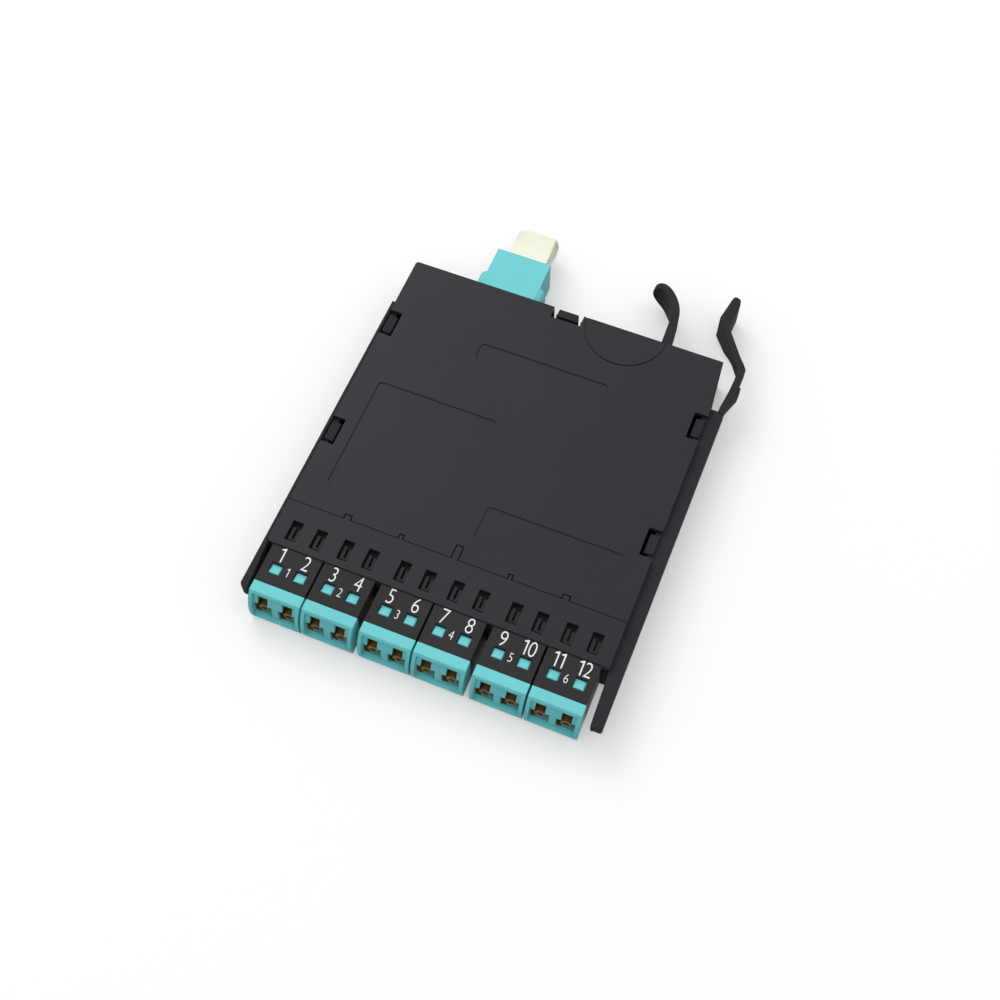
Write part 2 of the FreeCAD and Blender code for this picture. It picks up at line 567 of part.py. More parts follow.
def face_profile(sketch, radius, low, high, back):
    """Side outline closed by the bulging face: an arc from its low end to its high end."""
    centre = Vector(value_of(FACE_CENTRE), value_of("face_middle"), 0)
    size = value_of(radius)
    bottom, top, rear = (value_of(text) for text in (low, high, back))
    angles = [math.pi - math.asin((level - centre.y) / size) for level in (top, bottom)]
    ends = [centre + Vector(math.cos(angle), math.sin(angle), 0) * size for angle in angles]
    first = sketch.GeometryCount
    arc = Part.ArcOfCircle(Part.Circle(centre, Vector(0, 0, 1), size), angles[0], angles[1])
    sketch.addGeometry(arc)
    corners = [ends[1], Vector(rear, bottom, 0), Vector(rear, top, 0), ends[0]]
    for start, stop in zip(corners, corners[1:]):
        sketch.addGeometry(Part.LineSegment(start, stop))
    joins = ((0, 2, 1, 1), (1, 2, 2, 1), (2, 2, 3, 1), (3, 2, 0, 1))
    for one, one_end, other, other_end in joins:
        sketch.addConstraint(Sketcher.Constraint("Coincident", first + one, one_end, first + other, other_end))
    sketch.addConstraint(Sketcher.Constraint("Horizontal", first + 1))
    sketch.addConstraint(Sketcher.Constraint("Horizontal", first + 3))
    place_point(sketch, first, 3, FACE_CENTRE, "face_middle")
    place_point(sketch, first + 2, 1, back, low)
    place_point(sketch, first + 2, 2, back, high)
    index = sketch.addConstraint(Sketcher.Constraint("Radius", first, size))
    sketch.setExpression(f"Constraints[{index}]", cell(radius))


def port_outlines(sketch, slot_top):
    """Two ports side by side, each a square mouth with a narrower latch slot over it."""
    for side in (-0.5, 0.5):
        middle = f"({side}) * port_pitch"
        polygon(sketch, [(f"{middle} - port_width / 2", PORT_FLOOR), (f"{middle} + port_width / 2", PORT_FLOOR),
                         (f"{middle} + port_width / 2", PORT_SHOULDER),
                         (f"{middle} + latch_slot_width / 2", PORT_SHOULDER),
                         (f"{middle} + latch_slot_width / 2", slot_top),
                         (f"{middle} - latch_slot_width / 2", slot_top),
                         (f"{middle} - latch_slot_width / 2", PORT_SHOULDER),
                         (f"{middle} - port_width / 2", PORT_SHOULDER)])


def make_adapter_shell(bay):
    """Coloured shell: bulging flange, framed face with two ports, and a stepped body behind."""
    body = start_body(f"lc_adapter_{bay + 1}")
    flange = start_sketch(body, f"shell_flange_{bay}", "YZ_Plane", "0")
    face_profile(flange, "face_radius", "adapter_bottom", "adapter_top", FLANGE_BACK)
    add_pad(body, flange, "adapter_width", middle=True)
    half = "adapter_body_width / 2"
    tall = start_sketch(body, f"shell_body_{bay}", "XZ_Plane", f"0 - {FLANGE_BACK} + flange_depth / 4")
    rectangle(tall, f"0 - {half}", half, "adapter_bottom", "body_top")
    add_pad(body, tall, f"{BODY_STEP} - {FLANGE_BACK} + flange_depth / 4", reverse=True)
    low = start_sketch(body, f"shell_rear_{bay}", "XZ_Plane", f"0 - {BODY_STEP} + flange_depth / 4")
    rectangle(low, f"0 - {half}", half, "floor_thickness + seat_gap", "rear_body_top")
    add_pad(body, low, f"{ADAPTER_REAR} - {BODY_STEP} + flange_depth / 4", reverse=True)
    recess = start_sketch(body, f"shell_recess_{bay}", "YZ_Plane", "0")
    face_profile(recess, "face_radius + 3", "face_recess_bottom", "face_recess_top", FLANGE_BACK)
    pocket = add_pocket(body, recess, "face_recess_width", middle=True)
    keep = start_sketch(body, f"shell_face_{bay}", "YZ_Plane", "0")
    face_profile(keep, "face_radius - face_recess_depth", "face_recess_bottom - 0.3", "face_recess_top + 0.3",
                 FLANGE_BACK)
    add_pad(body, keep, "face_recess_width + 0.6", middle=True)
    mouths = start_sketch(body, f"shell_mouths_{bay}", "XZ_Plane", f"0 - {FRONT} + face_reach + {OUTSIDE}")
    port_outlines(mouths, "latch_slot_top")
    add_pocket(body, mouths, f"front_wall_depth + 2 * {OUTSIDE}")
    cavity_half = "(adapter_body_width / 2 - shell_wall)"
    cavity = start_sketch(body, f"shell_cavity_{bay}", "XZ_Plane", f"0 - {CORE_FRONT}")
    rectangle(cavity, f"0 - {cavity_half}", cavity_half, f"{PORT_FLOOR} - shell_wall", "latch_slot_top + seat_gap")
    add_pocket(body, cavity, f"{BODY_STEP} - {CORE_FRONT} - shell_wall")
    rear = start_sketch(body, f"shell_rear_cavity_{bay}", "XZ_Plane", f"0 - {BODY_STEP} + shell_wall")
    rectangle(rear, f"0 - {cavity_half}", cavity_half, f"{PORT_FLOOR} - seat_gap",
              "rear_body_top - shell_wall")
    add_pocket(body, rear, f"{ADAPTER_REAR} - {BODY_STEP} + shell_wall + {OUTSIDE}")
    bind(body, Placement__Base__x=bay_place(bay))
    return finished(body, f"lc_adapter_{bay + 1}")


def make_port_core(bay):
    """Dark inner core: port linings open to the front, a back wall and two sleeve noses."""
    body = start_body(f"port_core_{bay + 1}")
    half = "(adapter_body_width / 2 - shell_wall - seat_gap)"
    block = start_sketch(body, f"core_block_{bay}", "XZ_Plane", f"0 - {CORE_FRONT}")
    rectangle(block, f"0 - {half}", half, f"{PORT_FLOOR} - shell_wall", "latch_slot_top")
    add_pad(body, block, f"{BODY_STEP} - {CORE_FRONT} - shell_wall", reverse=True)
    linings = start_sketch(body, f"core_linings_{bay}", "XZ_Plane", f"0 - {CORE_FRONT} + {OUTSIDE}")
    port_outlines(linings, "latch_slot_top - shell_wall / 2")
    add_pocket(body, linings, f"{BODY_STEP} - {CORE_FRONT} - shell_wall - core_back_wall + {OUTSIDE}")
    noses = start_sketch(body, f"core_noses_{bay}", "XZ_Plane",
                         f"0 - {BODY_STEP} + shell_wall + core_back_wall + nose_reach")
    for side in (-0.5, 0.5):
        circle(noses, f"({side}) * port_pitch", "port_axis", "nose_diameter")
    add_pad(body, noses, "nose_reach + core_back_wall + nose_rear_reach", reverse=True)
    bores = start_sketch(body, f"core_bores_{bay}", "XZ_Plane", f"0 - {CORE_FRONT} + {OUTSIDE}")
    for side in (-0.5, 0.5):
        circle(bores, f"({side}) * port_pitch", "port_axis", "sleeve_diameter + 2 * seat_gap")
    add_pocket(body, bores, f"{ADAPTER_REAR} - {CORE_FRONT} + {OUTSIDE}")
    bind(body, Placement__Base__x=bay_place(bay))
    return finished(body, f"port_core_{bay + 1}")


def make_sleeve(port):
    """Ceramic alignment sleeve, split along its length."""
    body = start_body(f"sleeve_{port + 1}")
    ring = start_sketch(body, f"sleeve_ring_{port}", "XZ_Plane", f"0 - {SLEEVE_FRONT}")
    circle(ring, "0", "port_axis", "sleeve_diameter")
    circle(ring, "0", "port_axis", "sleeve_bore")
    add_pad(body, ring, "sleeve_length", reverse=True)
    slit = start_sketch(body, f"sleeve_slit_{port}", "XZ_Plane", f"0 - {SLEEVE_FRONT} + {OUTSIDE}")
    rectangle(slit, "0 - sleeve_slit / 2", "sleeve_slit / 2", "port_axis", "port_axis + sleeve_diameter")
    add_pocket(body, slit, f"sleeve_length + 2 * {OUTSIDE}")
    bind(body, Placement__Base__x=port_place(port))
    return finished(body, f"sleeve_{port + 1}")


def make_inner_plug(port):
    """Inner connector: square body, ferrule that enters the sleeve, and a round boot."""
    body = start_body(f"inner_plug_{port + 1}")
    half = "plug_size / 2"
    block = start_sketch(body, f"plug_block_{port}", "XZ_Plane", f"0 - {PLUG_FRONT}")
    rectangle(block, f"0 - {half}", half, f"port_axis - {half}", f"port_axis + {half}")
    add_pad(body, block, "plug_length", reverse=True)
    ferrule = start_sketch(body, f"plug_ferrule_{port}", "XZ_Plane", f"0 - {PLUG_FRONT} + ferrule_reach")
    circle(ferrule, "0", "port_axis", "ferrule_diameter")
    add_pad(body, ferrule, f"ferrule_reach + {OUTSIDE}", reverse=True)
    boot = start_sketch(body, f"plug_boot_{port}", "XZ_Plane", f"0 - {PLUG_FRONT} - plug_length + {OUTSIDE}")
    circle(boot, "0", "port_axis", "plug_boot_diameter")
    add_pad(body, boot, f"plug_boot_length + {OUTSIDE}", reverse=True)
    bind(body, Placement__Base__x=port_place(port))
    return finished(body, f"inner_plug_{port + 1}")


def make_number_plate(bay):
    """Dark saddle over an adapter: windowed top, two legs, and a tongue with two sprung clips."""
    body = start_body(f"number_plate_{bay + 1}")
    half = "adapter_width / 2"
    inner = "(adapter_body_width / 2 + seat_gap)"
    top = "(housing_height - plate_drop)"
    under = "(body_top + seat_gap)"
    saddle = start_sketch(body, f"plate_saddle_{bay}", "XZ_Plane", f"0 - {FLANGE_BACK} - seat_gap")
    polygon(saddle, [(f"0 - {half}", "adapter_bottom"), (f"0 - {inner}", "adapter_bottom"),
                     (f"0 - {inner}", under), (inner, under), (inner, "adapter_bottom"),
                     (half, "adapter_bottom"), (half, top), (f"0 - {half}", top)])
    add_pad(body, saddle, f"{FRONT} - {FLANGE_BACK} - 2 * seat_gap", reverse=True)
    windows = start_sketch(body, f"plate_windows_{bay}", "XY_Plane", top)
    for side in (-0.5, 0.5):
        middle = f"({side}) * port_pitch"
        rectangle(windows, f"{middle} - window_width / 2", f"{middle} + window_width / 2",
                  f"{FRONT} - window_place - window_length / 2", f"{FRONT} - window_place + window_length / 2")
    add_pocket(body, windows, f"{top} - {under}")
    tongue_half = "plate_tongue_width / 2"
    web = start_sketch(body, f"plate_web_{bay}", "XZ_Plane", f"0 - {BODY_STEP} - seat_gap")
    rectangle(web, f"0 - {tongue_half}", tongue_half, "rear_body_top + seat_gap", top)
    add_pad(body, web, "body_step - 2 * seat_gap", reverse=True)
    tongue = start_sketch(body, f"plate_tongue_{bay}", "XZ_Plane", f"0 - {BODY_STEP} - seat_gap")
    rectangle(tongue, f"0 - {tongue_half}", tongue_half, "rear_body_top + seat_gap",
              "rear_body_top + seat_gap + plate_tongue_thickness")
    add_pad(body, tongue, "body_step + plate_tongue_reach", reverse=True)
    clips = start_sketch(body, f"plate_clips_{bay}", "XY_Plane", "rear_body_top + seat_gap")
    for side in (-0.5, 0.5):
        middle = f"(({side}) * port_pitch + clip_offset)"
        clip = "clip_width / 2"
        slit = "clip_slit_width / 2"
        low = f"({FRONT} + pocket_front_margin + clip_margin)"
        high = f"({low} + clip_length)"
        polygon(clips, [(f"{middle} - {clip}", low), (f"{middle} + {clip}", low), (f"{middle} + {clip}", high),
                        (f"{middle} + {slit}", high), (f"{middle} + {slit}", f"{high} - clip_slit_length"),
                        (f"{middle} - {slit}", f"{high} - clip_slit_length"), (f"{middle} - {slit}", high),
                        (f"{middle} - {clip}", high)])
    add_pad(body, clips, "housing_height - clip_drop - rear_body_top - seat_gap")
    bind(body, Placement__Base__x=bay_place(bay))
    return finished(body, f"number_plate_{bay + 1}")


def make_trunk_adapter():
    """Multi-fibre adapter: collared outer body with its mouth to the rear, slimmer body inside."""
    body = start_body("trunk_adapter")
    half = "trunk_width / 2"
    collar = "trunk_collar_width / 2"
    start = f"({REAR} + seat_gap)"
    shoulder = f"({REAR} + trunk_collar_depth)"
    plan = start_sketch(body, "trunk_plan", "XY_Plane", "trunk_bottom")
    polygon(plan, [(f"0 - {collar}", start), (collar, start), (collar, shoulder),
                   (half, f"{shoulder} + trunk_collar_slope"), (half, TRUNK_REAR),
                   (f"0 - {half}", TRUNK_REAR), (f"0 - {half}", f"{shoulder} + trunk_collar_slope"),
                   (f"0 - {collar}", shoulder)])
    add_pad(body, plan, "trunk_top - trunk_bottom")
    inner_half = "trunk_inner_width / 2"
    inner = start_sketch(body, "trunk_inner", "XZ_Plane", f"0 - {start} - trunk_collar_depth / 2")
    rectangle(inner, f"0 - {inner_half}", inner_half, "floor_thickness + seat_gap", f"{PLATE_BASE} - seat_gap")
    add_pad(body, inner, "trunk_inner_reach + trunk_collar_depth / 2")
    mouth = start_sketch(body, "trunk_mouth", "XZ_Plane", f"0 - {TRUNK_REAR} - {OUTSIDE}")
    rectangle(mouth, "0 - trunk_cavity_width / 2", "trunk_cavity_width / 2",
              f"{TRUNK_MIDDLE} - trunk_cavity_height / 2", f"{TRUNK_MIDDLE} + trunk_cavity_height / 2")
    add_pocket(body, mouth, f"trunk_cavity_depth + {OUTSIDE}", reverse=True)
    seat = start_sketch(body, "trunk_inner_mouth", "XZ_Plane", f"0 - {start} + trunk_inner_reach + {OUTSIDE}")
    rectangle(seat, "0 - trunk_inner_cavity_width / 2", "trunk_inner_cavity_width / 2",
              f"{TRUNK_MIDDLE} - trunk_inner_cavity_height / 2", f"{TRUNK_MIDDLE} + trunk_inner_cavity_height / 2")
    add_pocket(body, seat, f"trunk_inner_reach + {OUTSIDE}")
    slot = start_sketch(body, "trunk_slot", "XZ_Plane", f"0 - {start} + {OUTSIDE}")
    rectangle(slot, "0 - trunk_slot_width / 2", "trunk_slot_width / 2",
              f"{TRUNK_MIDDLE} - trunk_slot_height / 2", f"{TRUNK_MIDDLE} + trunk_slot_height / 2")
    add_pocket(body, slot, f"trunk_reach - trunk_cavity_depth + 2 * {OUTSIDE}")
    bind(body, Placement__Base__x="trunk_place")
    return finished(body, "trunk_adapter")


def make_dust_cap():
    """Cap: a plug that fits the adapter's mouth and a leaf-shaped grip carried across it."""
    body = start_body("dust_cap")
    half = "(trunk_cavity_width / 2 - cap_fit_gap)"
    plug = start_sketch(body, "cap_plug", "XZ_Plane", f"0 - {TRUNK_REAR} + cap_plug_depth")
    rectangle(plug, f"0 - {half}", half, f"{TRUNK_MIDDLE} - trunk_cavity_height / 2 + cap_fit_gap",
              f"{TRUNK_MIDDLE} + trunk_cavity_height / 2 - cap_fit_gap")
    add_pad(body, plug, "cap_plug_depth", reverse=True)
    grip = start_sketch(body, "cap_grip", "YZ_Plane", "0")
    leaf_outline(grip)
    add_pad(body, grip, "cap_width", middle=True)
    bind(body, Placement__Base__x="trunk_place")
    return finished(body, "dust_cap")


def leaf_outline(sketch):
    """Leaf in side view: a neck that swells to the grip's full height and closes in a round end."""
    neck, bulge = "cap_neck_height / 2", "cap_grip_height / 2"
    level = f"({TRUNK_MIDDLE} + cap_grip_lift)"
    root = f"({TRUNK_REAR} - 1)"
    crest = f"({TRUNK_REAR} + cap_crest_reach)"
    places = [(root, f"{level} - {neck}"), (crest, f"{level} - {bulge}"), (crest, f"{level} + {bulge}"),
              (root, f"{level} + {neck}")]
    low, keel, high, start = (Vector(value_of(along), value_of(up), 0) for along, up in places)
    end = Vector(value_of(f"{TRUNK_REAR} + cap_grip_reach"), value_of(level), 0)
    hollow = value_of("cap_side_hollow")
    fall = (low + keel) / 2 + Vector(0, hollow, 0)
    rise = (high + start) / 2 - Vector(0, hollow, 0)
    for arc in (Part.Arc(low, fall, keel), Part.Arc(keel, end, high), Part.Arc(high, rise, start)):
        sketch.addGeometry(arc)
    sketch.addGeometry(Part.LineSegment(start, low))
    joins = sorted_joins(sketch, (low, keel, high, start))
    for number, ends in enumerate(joins):
        following = joins[(number + 1) % 4]
        sketch.addConstraint(Sketcher.Constraint("Coincident", number, ends[1], (number + 1) % 4, following[0]))
        place_point(sketch, number, ends[0], *places[number])
    for number in range(3):
        centre = sketch.Geometry[number].Center.x
        sketch.addConstraint(Sketcher.Constraint("DistanceX", -1, 1, number, 3, centre))


def sorted_joins(sketch, points):
    """For each edge, which of its ends is its first corner and which its second."""
    joins = []
    for number, point in enumerate(points):
        forward = sketch.getPoint(number, 1).distanceToPoint(point) < 1e-6
        joins.append((1, 2) if forward else (2, 1))
    return joins


def make_trunk_plug():
    """Inner multi-fibre connector: a flat body in the adapter's inner mouth and its boot."""
    body = start_body("trunk_plug")
    block = start_sketch(body, "trunk_plug_block", "XZ_Plane", f"0 - {TRUNK_PLUG_END}")
    rectangle(block, "0 - trunk_plug_width / 2", "trunk_plug_width / 2",
              f"{TRUNK_MIDDLE} - trunk_plug_height / 2", f"{TRUNK_MIDDLE} + trunk_plug_height / 2")
    add_pad(body, block, "trunk_plug_length", reverse=True)
    boot = start_sketch(body, "trunk_plug_boot", "XZ_Plane", f"0 - {TRUNK_PLUG_END} + trunk_boot_length")
    rectangle(boot, "0 - ribbon_width / 2 - 1", "ribbon_width / 2 + 1",
              f"{TRUNK_MIDDLE} - ribbon_height / 2 - 1", f"{TRUNK_MIDDLE} + ribbon_height / 2 + 1")
    add_pad(body, boot, f"trunk_boot_length + {OUTSIDE}", reverse=True)
    bind(body, Placement__Base__x="trunk_place")
    return finished(body, "trunk_plug")


def make_trunk_ribbon():
    """Flat ribbon of twelve fibres between the boot and the fan-out block."""
    half = "ribbon_width / 2"
    item = box("trunk_ribbon", f"trunk_place - {half}", f"trunk_place + {half}", FANOUT_BACK,
               f"{TRUNK_PLUG_END} - trunk_boot_length", f"{TRUNK_MIDDLE} - ribbon_height / 2",
               f"{TRUNK_MIDDLE} + ribbon_height / 2")
    return finished(item, "trunk_ribbon")


def make_fanout_block():
    """Block where the ribbon splits into single fibres."""
    half = "fanout_width / 2"
    item = box("fanout_block", f"trunk_place - {half}", f"trunk_place + {half}", FANOUT_FRONT, FANOUT_BACK,
               "floor_thickness", "floor_thickness + fanout_height")
    return finished(item, "fanout_block")


def fibre_route(port):
    """Corners of one fibre's route: out of the block, across the tray, and into its plug."""
    across = value_of("trunk_place") + (port - (PORTS - 1) / 2) * value_of("fibre_spacing")
    goal = value_of(port_place(port))
    turn = value_of("fibre_turn") + abs(port - STRAIGHT_FIBRE) * value_of("fibre_stagger")
    level = value_of("port_axis")
    return [Vector(across, value_of(FANOUT_FRONT), level), Vector(across, turn, level),
            Vector(goal, value_of("fibre_front_turn"), level), Vector(goal, value_of(PLUG_BOOT_END), level)]


def fibre_tube(port):
    """Round fibre along its route: straight runs joined by tangent arcs."""
    points = fibre_route(port)
    edges = []
    last = points[0]
    for before, at, after in zip(points, points[1:], points[2:]):
        into, out = (before - at), (after - at)
        reach = 0.45 * min(into.Length, out.Length)
        into.normalize()
        out.normalize()
        half_turn = (math.pi - into.getAngle(out)) / 2
        radius = reach / math.tan(half_turn)
        centre = at + (into + out).normalize() * (radius / math.cos(half_turn))
        first, second = at + into * reach, at + out * reach
        middle = centre + (at - centre).normalize() * radius
        edges += [Part.makeLine(last, first), Part.Arc(first, middle, second).toShape()]
        last = second
    edges.append(Part.makeLine(last, points[-1]))
    length = sum(edge.Length for edge in edges)
    radius = value_of("fibre_diameter") / 2
    section = Part.Wire(Part.makeCircle(radius, points[0], Vector(0, 1, 0)))
    tube = Part.Wire(edges).makePipeShell([section], True, False)
    expected = math.pi * radius ** 2 * length
    if abs(tube.Volume / expected - 1) > 0.01:
        raise ValueError(f"fibre {port + 1} has volume {tube.Volume:.2f}, not {expected:.2f}")
    return tube


def make_fibre_pair(bay):
    """The two fibres that serve one adapter."""
    feature = document.addObject("Part::Feature", f"fibre_pair_{bay + 1}")
    feature.Shape = Part.makeCompound([fibre_tube(PORTS_PER_BAY * bay + side) for side in (0, 1)])
    return finished(feature, f"fibre_pair_{bay + 1}")


make_base_housing()
make_top_cover()
make_front_strip()
for bay in range(BAYS):
    make_adapter_shell(bay)
    make_port_core(bay)
    make_number_plate(bay)
    make_fibre_pair(bay)
for port in range(PORTS):
    make_sleeve(port)
    make_inner_plug(port)
make_release_arm()
make_trunk_adapter()
make_dust_cap()
make_trunk_plug()
make_trunk_ribbon()
make_fanout_block()
document.recompute()

for item in document.Objects:
    if "Invalid" in item.State or "Error" in item.State:
        raise ValueError(f"{item.Label} is {item.State}")
os.makedirs("parts", exist_ok=True)
total = 0
for piece in pieces:
    shape = piece.Shape
    if shape.isNull() or not shape.isValid() or not shape.Solids:
        raise ValueError(f"{piece.Label} has no valid solid")
    facets = len(shape.tessellate(max(0.01, 0.0002 * shape.BoundBox.DiagonalLength))[1])
    total += facets
    print(f"{piece.Label:20s} solids {len(shape.Solids)} volume {shape.Volume:9.2f} facets {facets}")
    shape.exportStep(f"parts/{piece.Label}.step")
print("pieces", len(pieces), "facets", total)
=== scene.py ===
"""Looks of the fibre cassette: finishes, closer shapes, numbers, floor, light and camera round its frame."""

import bmesh
import bpy
import numpy as np
from mathutils import Matrix, Vector


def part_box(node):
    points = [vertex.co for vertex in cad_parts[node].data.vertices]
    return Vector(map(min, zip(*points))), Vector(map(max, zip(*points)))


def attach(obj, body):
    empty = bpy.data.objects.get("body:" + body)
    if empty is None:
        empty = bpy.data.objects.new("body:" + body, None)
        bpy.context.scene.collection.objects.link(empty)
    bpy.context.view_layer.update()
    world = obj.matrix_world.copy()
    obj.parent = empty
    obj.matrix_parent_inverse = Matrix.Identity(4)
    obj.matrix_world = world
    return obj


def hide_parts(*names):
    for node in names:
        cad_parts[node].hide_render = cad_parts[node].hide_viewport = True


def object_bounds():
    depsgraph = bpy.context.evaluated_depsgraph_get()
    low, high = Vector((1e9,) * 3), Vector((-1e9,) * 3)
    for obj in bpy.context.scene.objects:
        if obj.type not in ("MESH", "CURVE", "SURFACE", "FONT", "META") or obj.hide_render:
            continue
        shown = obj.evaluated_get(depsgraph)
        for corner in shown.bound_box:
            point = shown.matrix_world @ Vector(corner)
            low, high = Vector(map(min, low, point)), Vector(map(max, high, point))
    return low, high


bl_info = {
    "name": "Fibre Cassette",
    "version": (1, 0, 0),
    "blender": (4, 5, 0),
    "location": "3D View > Sidebar > Cassette",
    "description": "Finishes, numbers and studio for a plug-in fibre cassette",
    "category": "Add Mesh",
}

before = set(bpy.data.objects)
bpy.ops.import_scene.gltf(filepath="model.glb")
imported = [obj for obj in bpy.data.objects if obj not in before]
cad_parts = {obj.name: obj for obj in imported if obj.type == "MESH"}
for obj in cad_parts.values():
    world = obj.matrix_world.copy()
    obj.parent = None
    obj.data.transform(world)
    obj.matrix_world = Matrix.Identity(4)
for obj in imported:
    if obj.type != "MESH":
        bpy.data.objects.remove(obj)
CAD_BOX = [list(corner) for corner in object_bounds()]
MM = 0.001
BODY = "cassette"
BAYS = 6
PORTS_PER_BAY = 2
# Gap in millimetres between two pieces that fit into each other.
PLAY = 0.05
# Factor on the font's width, and space between two figures as a share of their height.
FIGURE_WIDTH = 0.77
FIGURE_SPACE = 0.13
# How far a figure's outline is drawn in, in units of the font.
FIGURE_THINNING = -0.013


class CassetteFinish(bpy.types.PropertyGroup):
    """Colours of the mouldings, as they look under white light."""

    housing: bpy.props.FloatVectorProperty(
        name="Housing", description="Dark grey of the tray and its rails", subtype="COLOR",
        default=(0.031, 0.032, 0.036), min=0, max=1)
    cover: bpy.props.FloatVectorProperty(
        name="Cover", description="Dark grey of the cover and the strip in front of it", subtype="COLOR",
        default=(0.0175, 0.0185, 0.0225), min=0, max=1)
    plate: bpy.props.FloatVectorProperty(
        name="Number plate", description="Near black of the saddles over the adapters", subtype="COLOR",
        default=(0.0305, 0.0298, 0.0305), min=0, max=1)
    shell: bpy.props.FloatVectorProperty(
        name="Adapter shell", description="Aqua of the adapters", subtype="COLOR",
        default=(0.18, 0.645, 0.672), min=0, max=1)
    core: bpy.props.FloatVectorProperty(
        name="Adapter core", description="Amber of the adapters' inner cores", subtype="COLOR",
        default=(0.165, 0.092, 0.022), min=0, max=1)
    cap: bpy.props.FloatVectorProperty(
        name="Dust cap", description="Ivory of the dust cap", subtype="COLOR",
        default=(0.95, 0.935, 0.77), min=0, max=1)
    print: bpy.props.FloatVectorProperty(
        name="Numbers", description="White of the printed numbers", subtype="COLOR",
        default=(0.86, 0.87, 0.86), min=0, max=1)


class CassetteNumbers(bpy.types.PropertyGroup):
    """Sizes of the printed numbers."""

    port_height: bpy.props.FloatProperty(
        name="Port number height", description="Height of a port's number", unit="LENGTH",
        default=3.7 * MM, min=1 * MM, max=6 * MM)
    port_place: bpy.props.FloatProperty(
        name="Port number place", description="How far a port's number stands in front of the housing",
        unit="LENGTH", default=2.1 * MM, min=0, max=8 * MM)
    bay_height: bpy.props.FloatProperty(
        name="Adapter number height", description="Height of an adapter's number", unit="LENGTH",
        default=2.2 * MM, min=1 * MM, max=4 * MM)
    bay_place: bpy.props.FloatProperty(
        name="Adapter number place", description="How far an adapter's number stands in front of the housing",
        unit="LENGTH", default=5.7 * MM, min=0, max=9 * MM)
    ink: bpy.props.FloatProperty(
        name="Ink thickness", description="Thickness of the printed ink", unit="LENGTH",
        default=0.02 * MM, min=0.005 * MM, max=0.1 * MM)


class CassetteStudio(bpy.types.PropertyGroup):
    """Camera and light."""

    camera_place: bpy.props.FloatVectorProperty(
        name="Camera", description="Where the camera stands", subtype="TRANSLATION", unit="LENGTH",
        default=(61.51 * MM, -155.46 * MM, 300.12 * MM))
    camera_target: bpy.props.FloatVectorProperty(
        name="Target", description="What the camera looks at", subtype="TRANSLATION", unit="LENGTH",
        default=(3.97 * MM, -13.4 * MM, 11.0 * MM))
    lens: bpy.props.FloatProperty(
        name="Lens", description="Focal length in millimetres", default=50.0, min=10, max=200)
    lamp_power: bpy.props.FloatProperty(
        name="Lamp power", description="Power of the lamp", unit="POWER", default=8.0, min=0, max=50)
    fill: bpy.props.FloatProperty(
        name="Fill", description="Strength of the light from all round", default=0.82, min=0, max=3)


def added(name, data):
    """New object of some data, put into the scene."""
    item = bpy.data.objects.new(name, data)
    bpy.context.scene.collection.objects.link(item)
    return item


def added_mesh(name, points, faces, material):
    """New object with a mesh of points in metres and of faces, all in one material."""
    mesh = bpy.data.meshes.new(name)
    mesh.from_pydata(points.tolist(), [], faces)
    mesh.materials.append(material)
    mesh.update()
    return added(name, mesh)


def nodes_named(*starts):
    """CAD nodes whose names begin with one of the given words."""
    return [item for name, item in sorted(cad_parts.items()) if name.startswith(starts)]


def grain(tree, size, detail=3.0):
    """Noise on Object coordinates whose cells are about as wide as size, in metres."""
    place = tree.nodes.new("ShaderNodeTexCoord")
    noise = tree.nodes.new("ShaderNodeTexNoise")
    noise.inputs["Scale"].default_value = 1 / size
    noise.inputs["Detail"].default_value = detail
    tree.links.new(place.outputs["Object"], noise.inputs["Vector"])
    return noise.outputs["Fac"]


def remapped(tree, source, low, high):
    """Factor carried from the noise's usual range to a range of its own."""
    node = tree.nodes.new("ShaderNodeMapRange")
    for name, value in (("From Min", 0.3), ("From Max", 0.7), ("To Min", low), ("To Max", high)):
        node.inputs[name].default_value = value
    tree.links.new(source, node.inputs["Value"])
    return node.outputs["Result"]


def plastic(name, colour, roughness, grain_size=0.12 * MM, grain_depth=0.004 * MM, edge=0.12 * MM,
            spread=0.06, gloss_spread=0.05, sheen=0.4, glow=0.0):
    """Moulded plastic: slow drift of tone, fine spark-eroded grain, and edges softened by a small round."""
    material = bpy.data.materials.new(name)
    material.use_nodes = True
    tree = material.node_tree
    shader = tree.nodes["Principled BSDF"]
    shader.inputs["IOR"].default_value = 1.5
    shader.inputs["Specular IOR Level"].default_value = sheen
    shader.inputs["Subsurface Weight"].default_value = glow
    shader.inputs["Subsurface Scale"].default_value = 1.2 * MM
    drift = grain(tree, 14 * MM)
    tone = tree.nodes.new("ShaderNodeMix")
    tone.data_type = "RGBA"
    tone.inputs["A"].default_value = (*(channel * (1 - spread) for channel in colour), 1)
    tone.inputs["B"].default_value = (*(min(1, channel * (1 + spread)) for channel in colour), 1)
    tree.links.new(remapped(tree, drift, 0, 1), tone.inputs["Factor"])
    tree.links.new(tone.outputs["Result"], shader.inputs["Base Color"])
    fine = grain(tree, grain_size, detail=2.0)
    tree.links.new(remapped(tree, fine, roughness - gloss_spread, roughness + gloss_spread),
                   shader.inputs["Roughness"])
    round_edge = tree.nodes.new("ShaderNodeBevel")
    round_edge.samples = 4
    round_edge.inputs["Radius"].default_value = edge
    bump = tree.nodes.new("ShaderNodeBump")
    bump.inputs["Strength"].default_value = 0.6
    bump.inputs["Distance"].default_value = grain_depth
    tree.links.new(fine, bump.inputs["Height"])
    tree.links.new(round_edge.outputs["Normal"], bump.inputs["Normal"])
    tree.links.new(bump.outputs["Normal"], shader.inputs["Normal"])
    return material


def dress(items, material):
    """Gives every material slot of the items the material."""
    for item in items:
        if not item.material_slots:
            item.data.materials.append(material)
        for place in item.material_slots:
            place.material = material


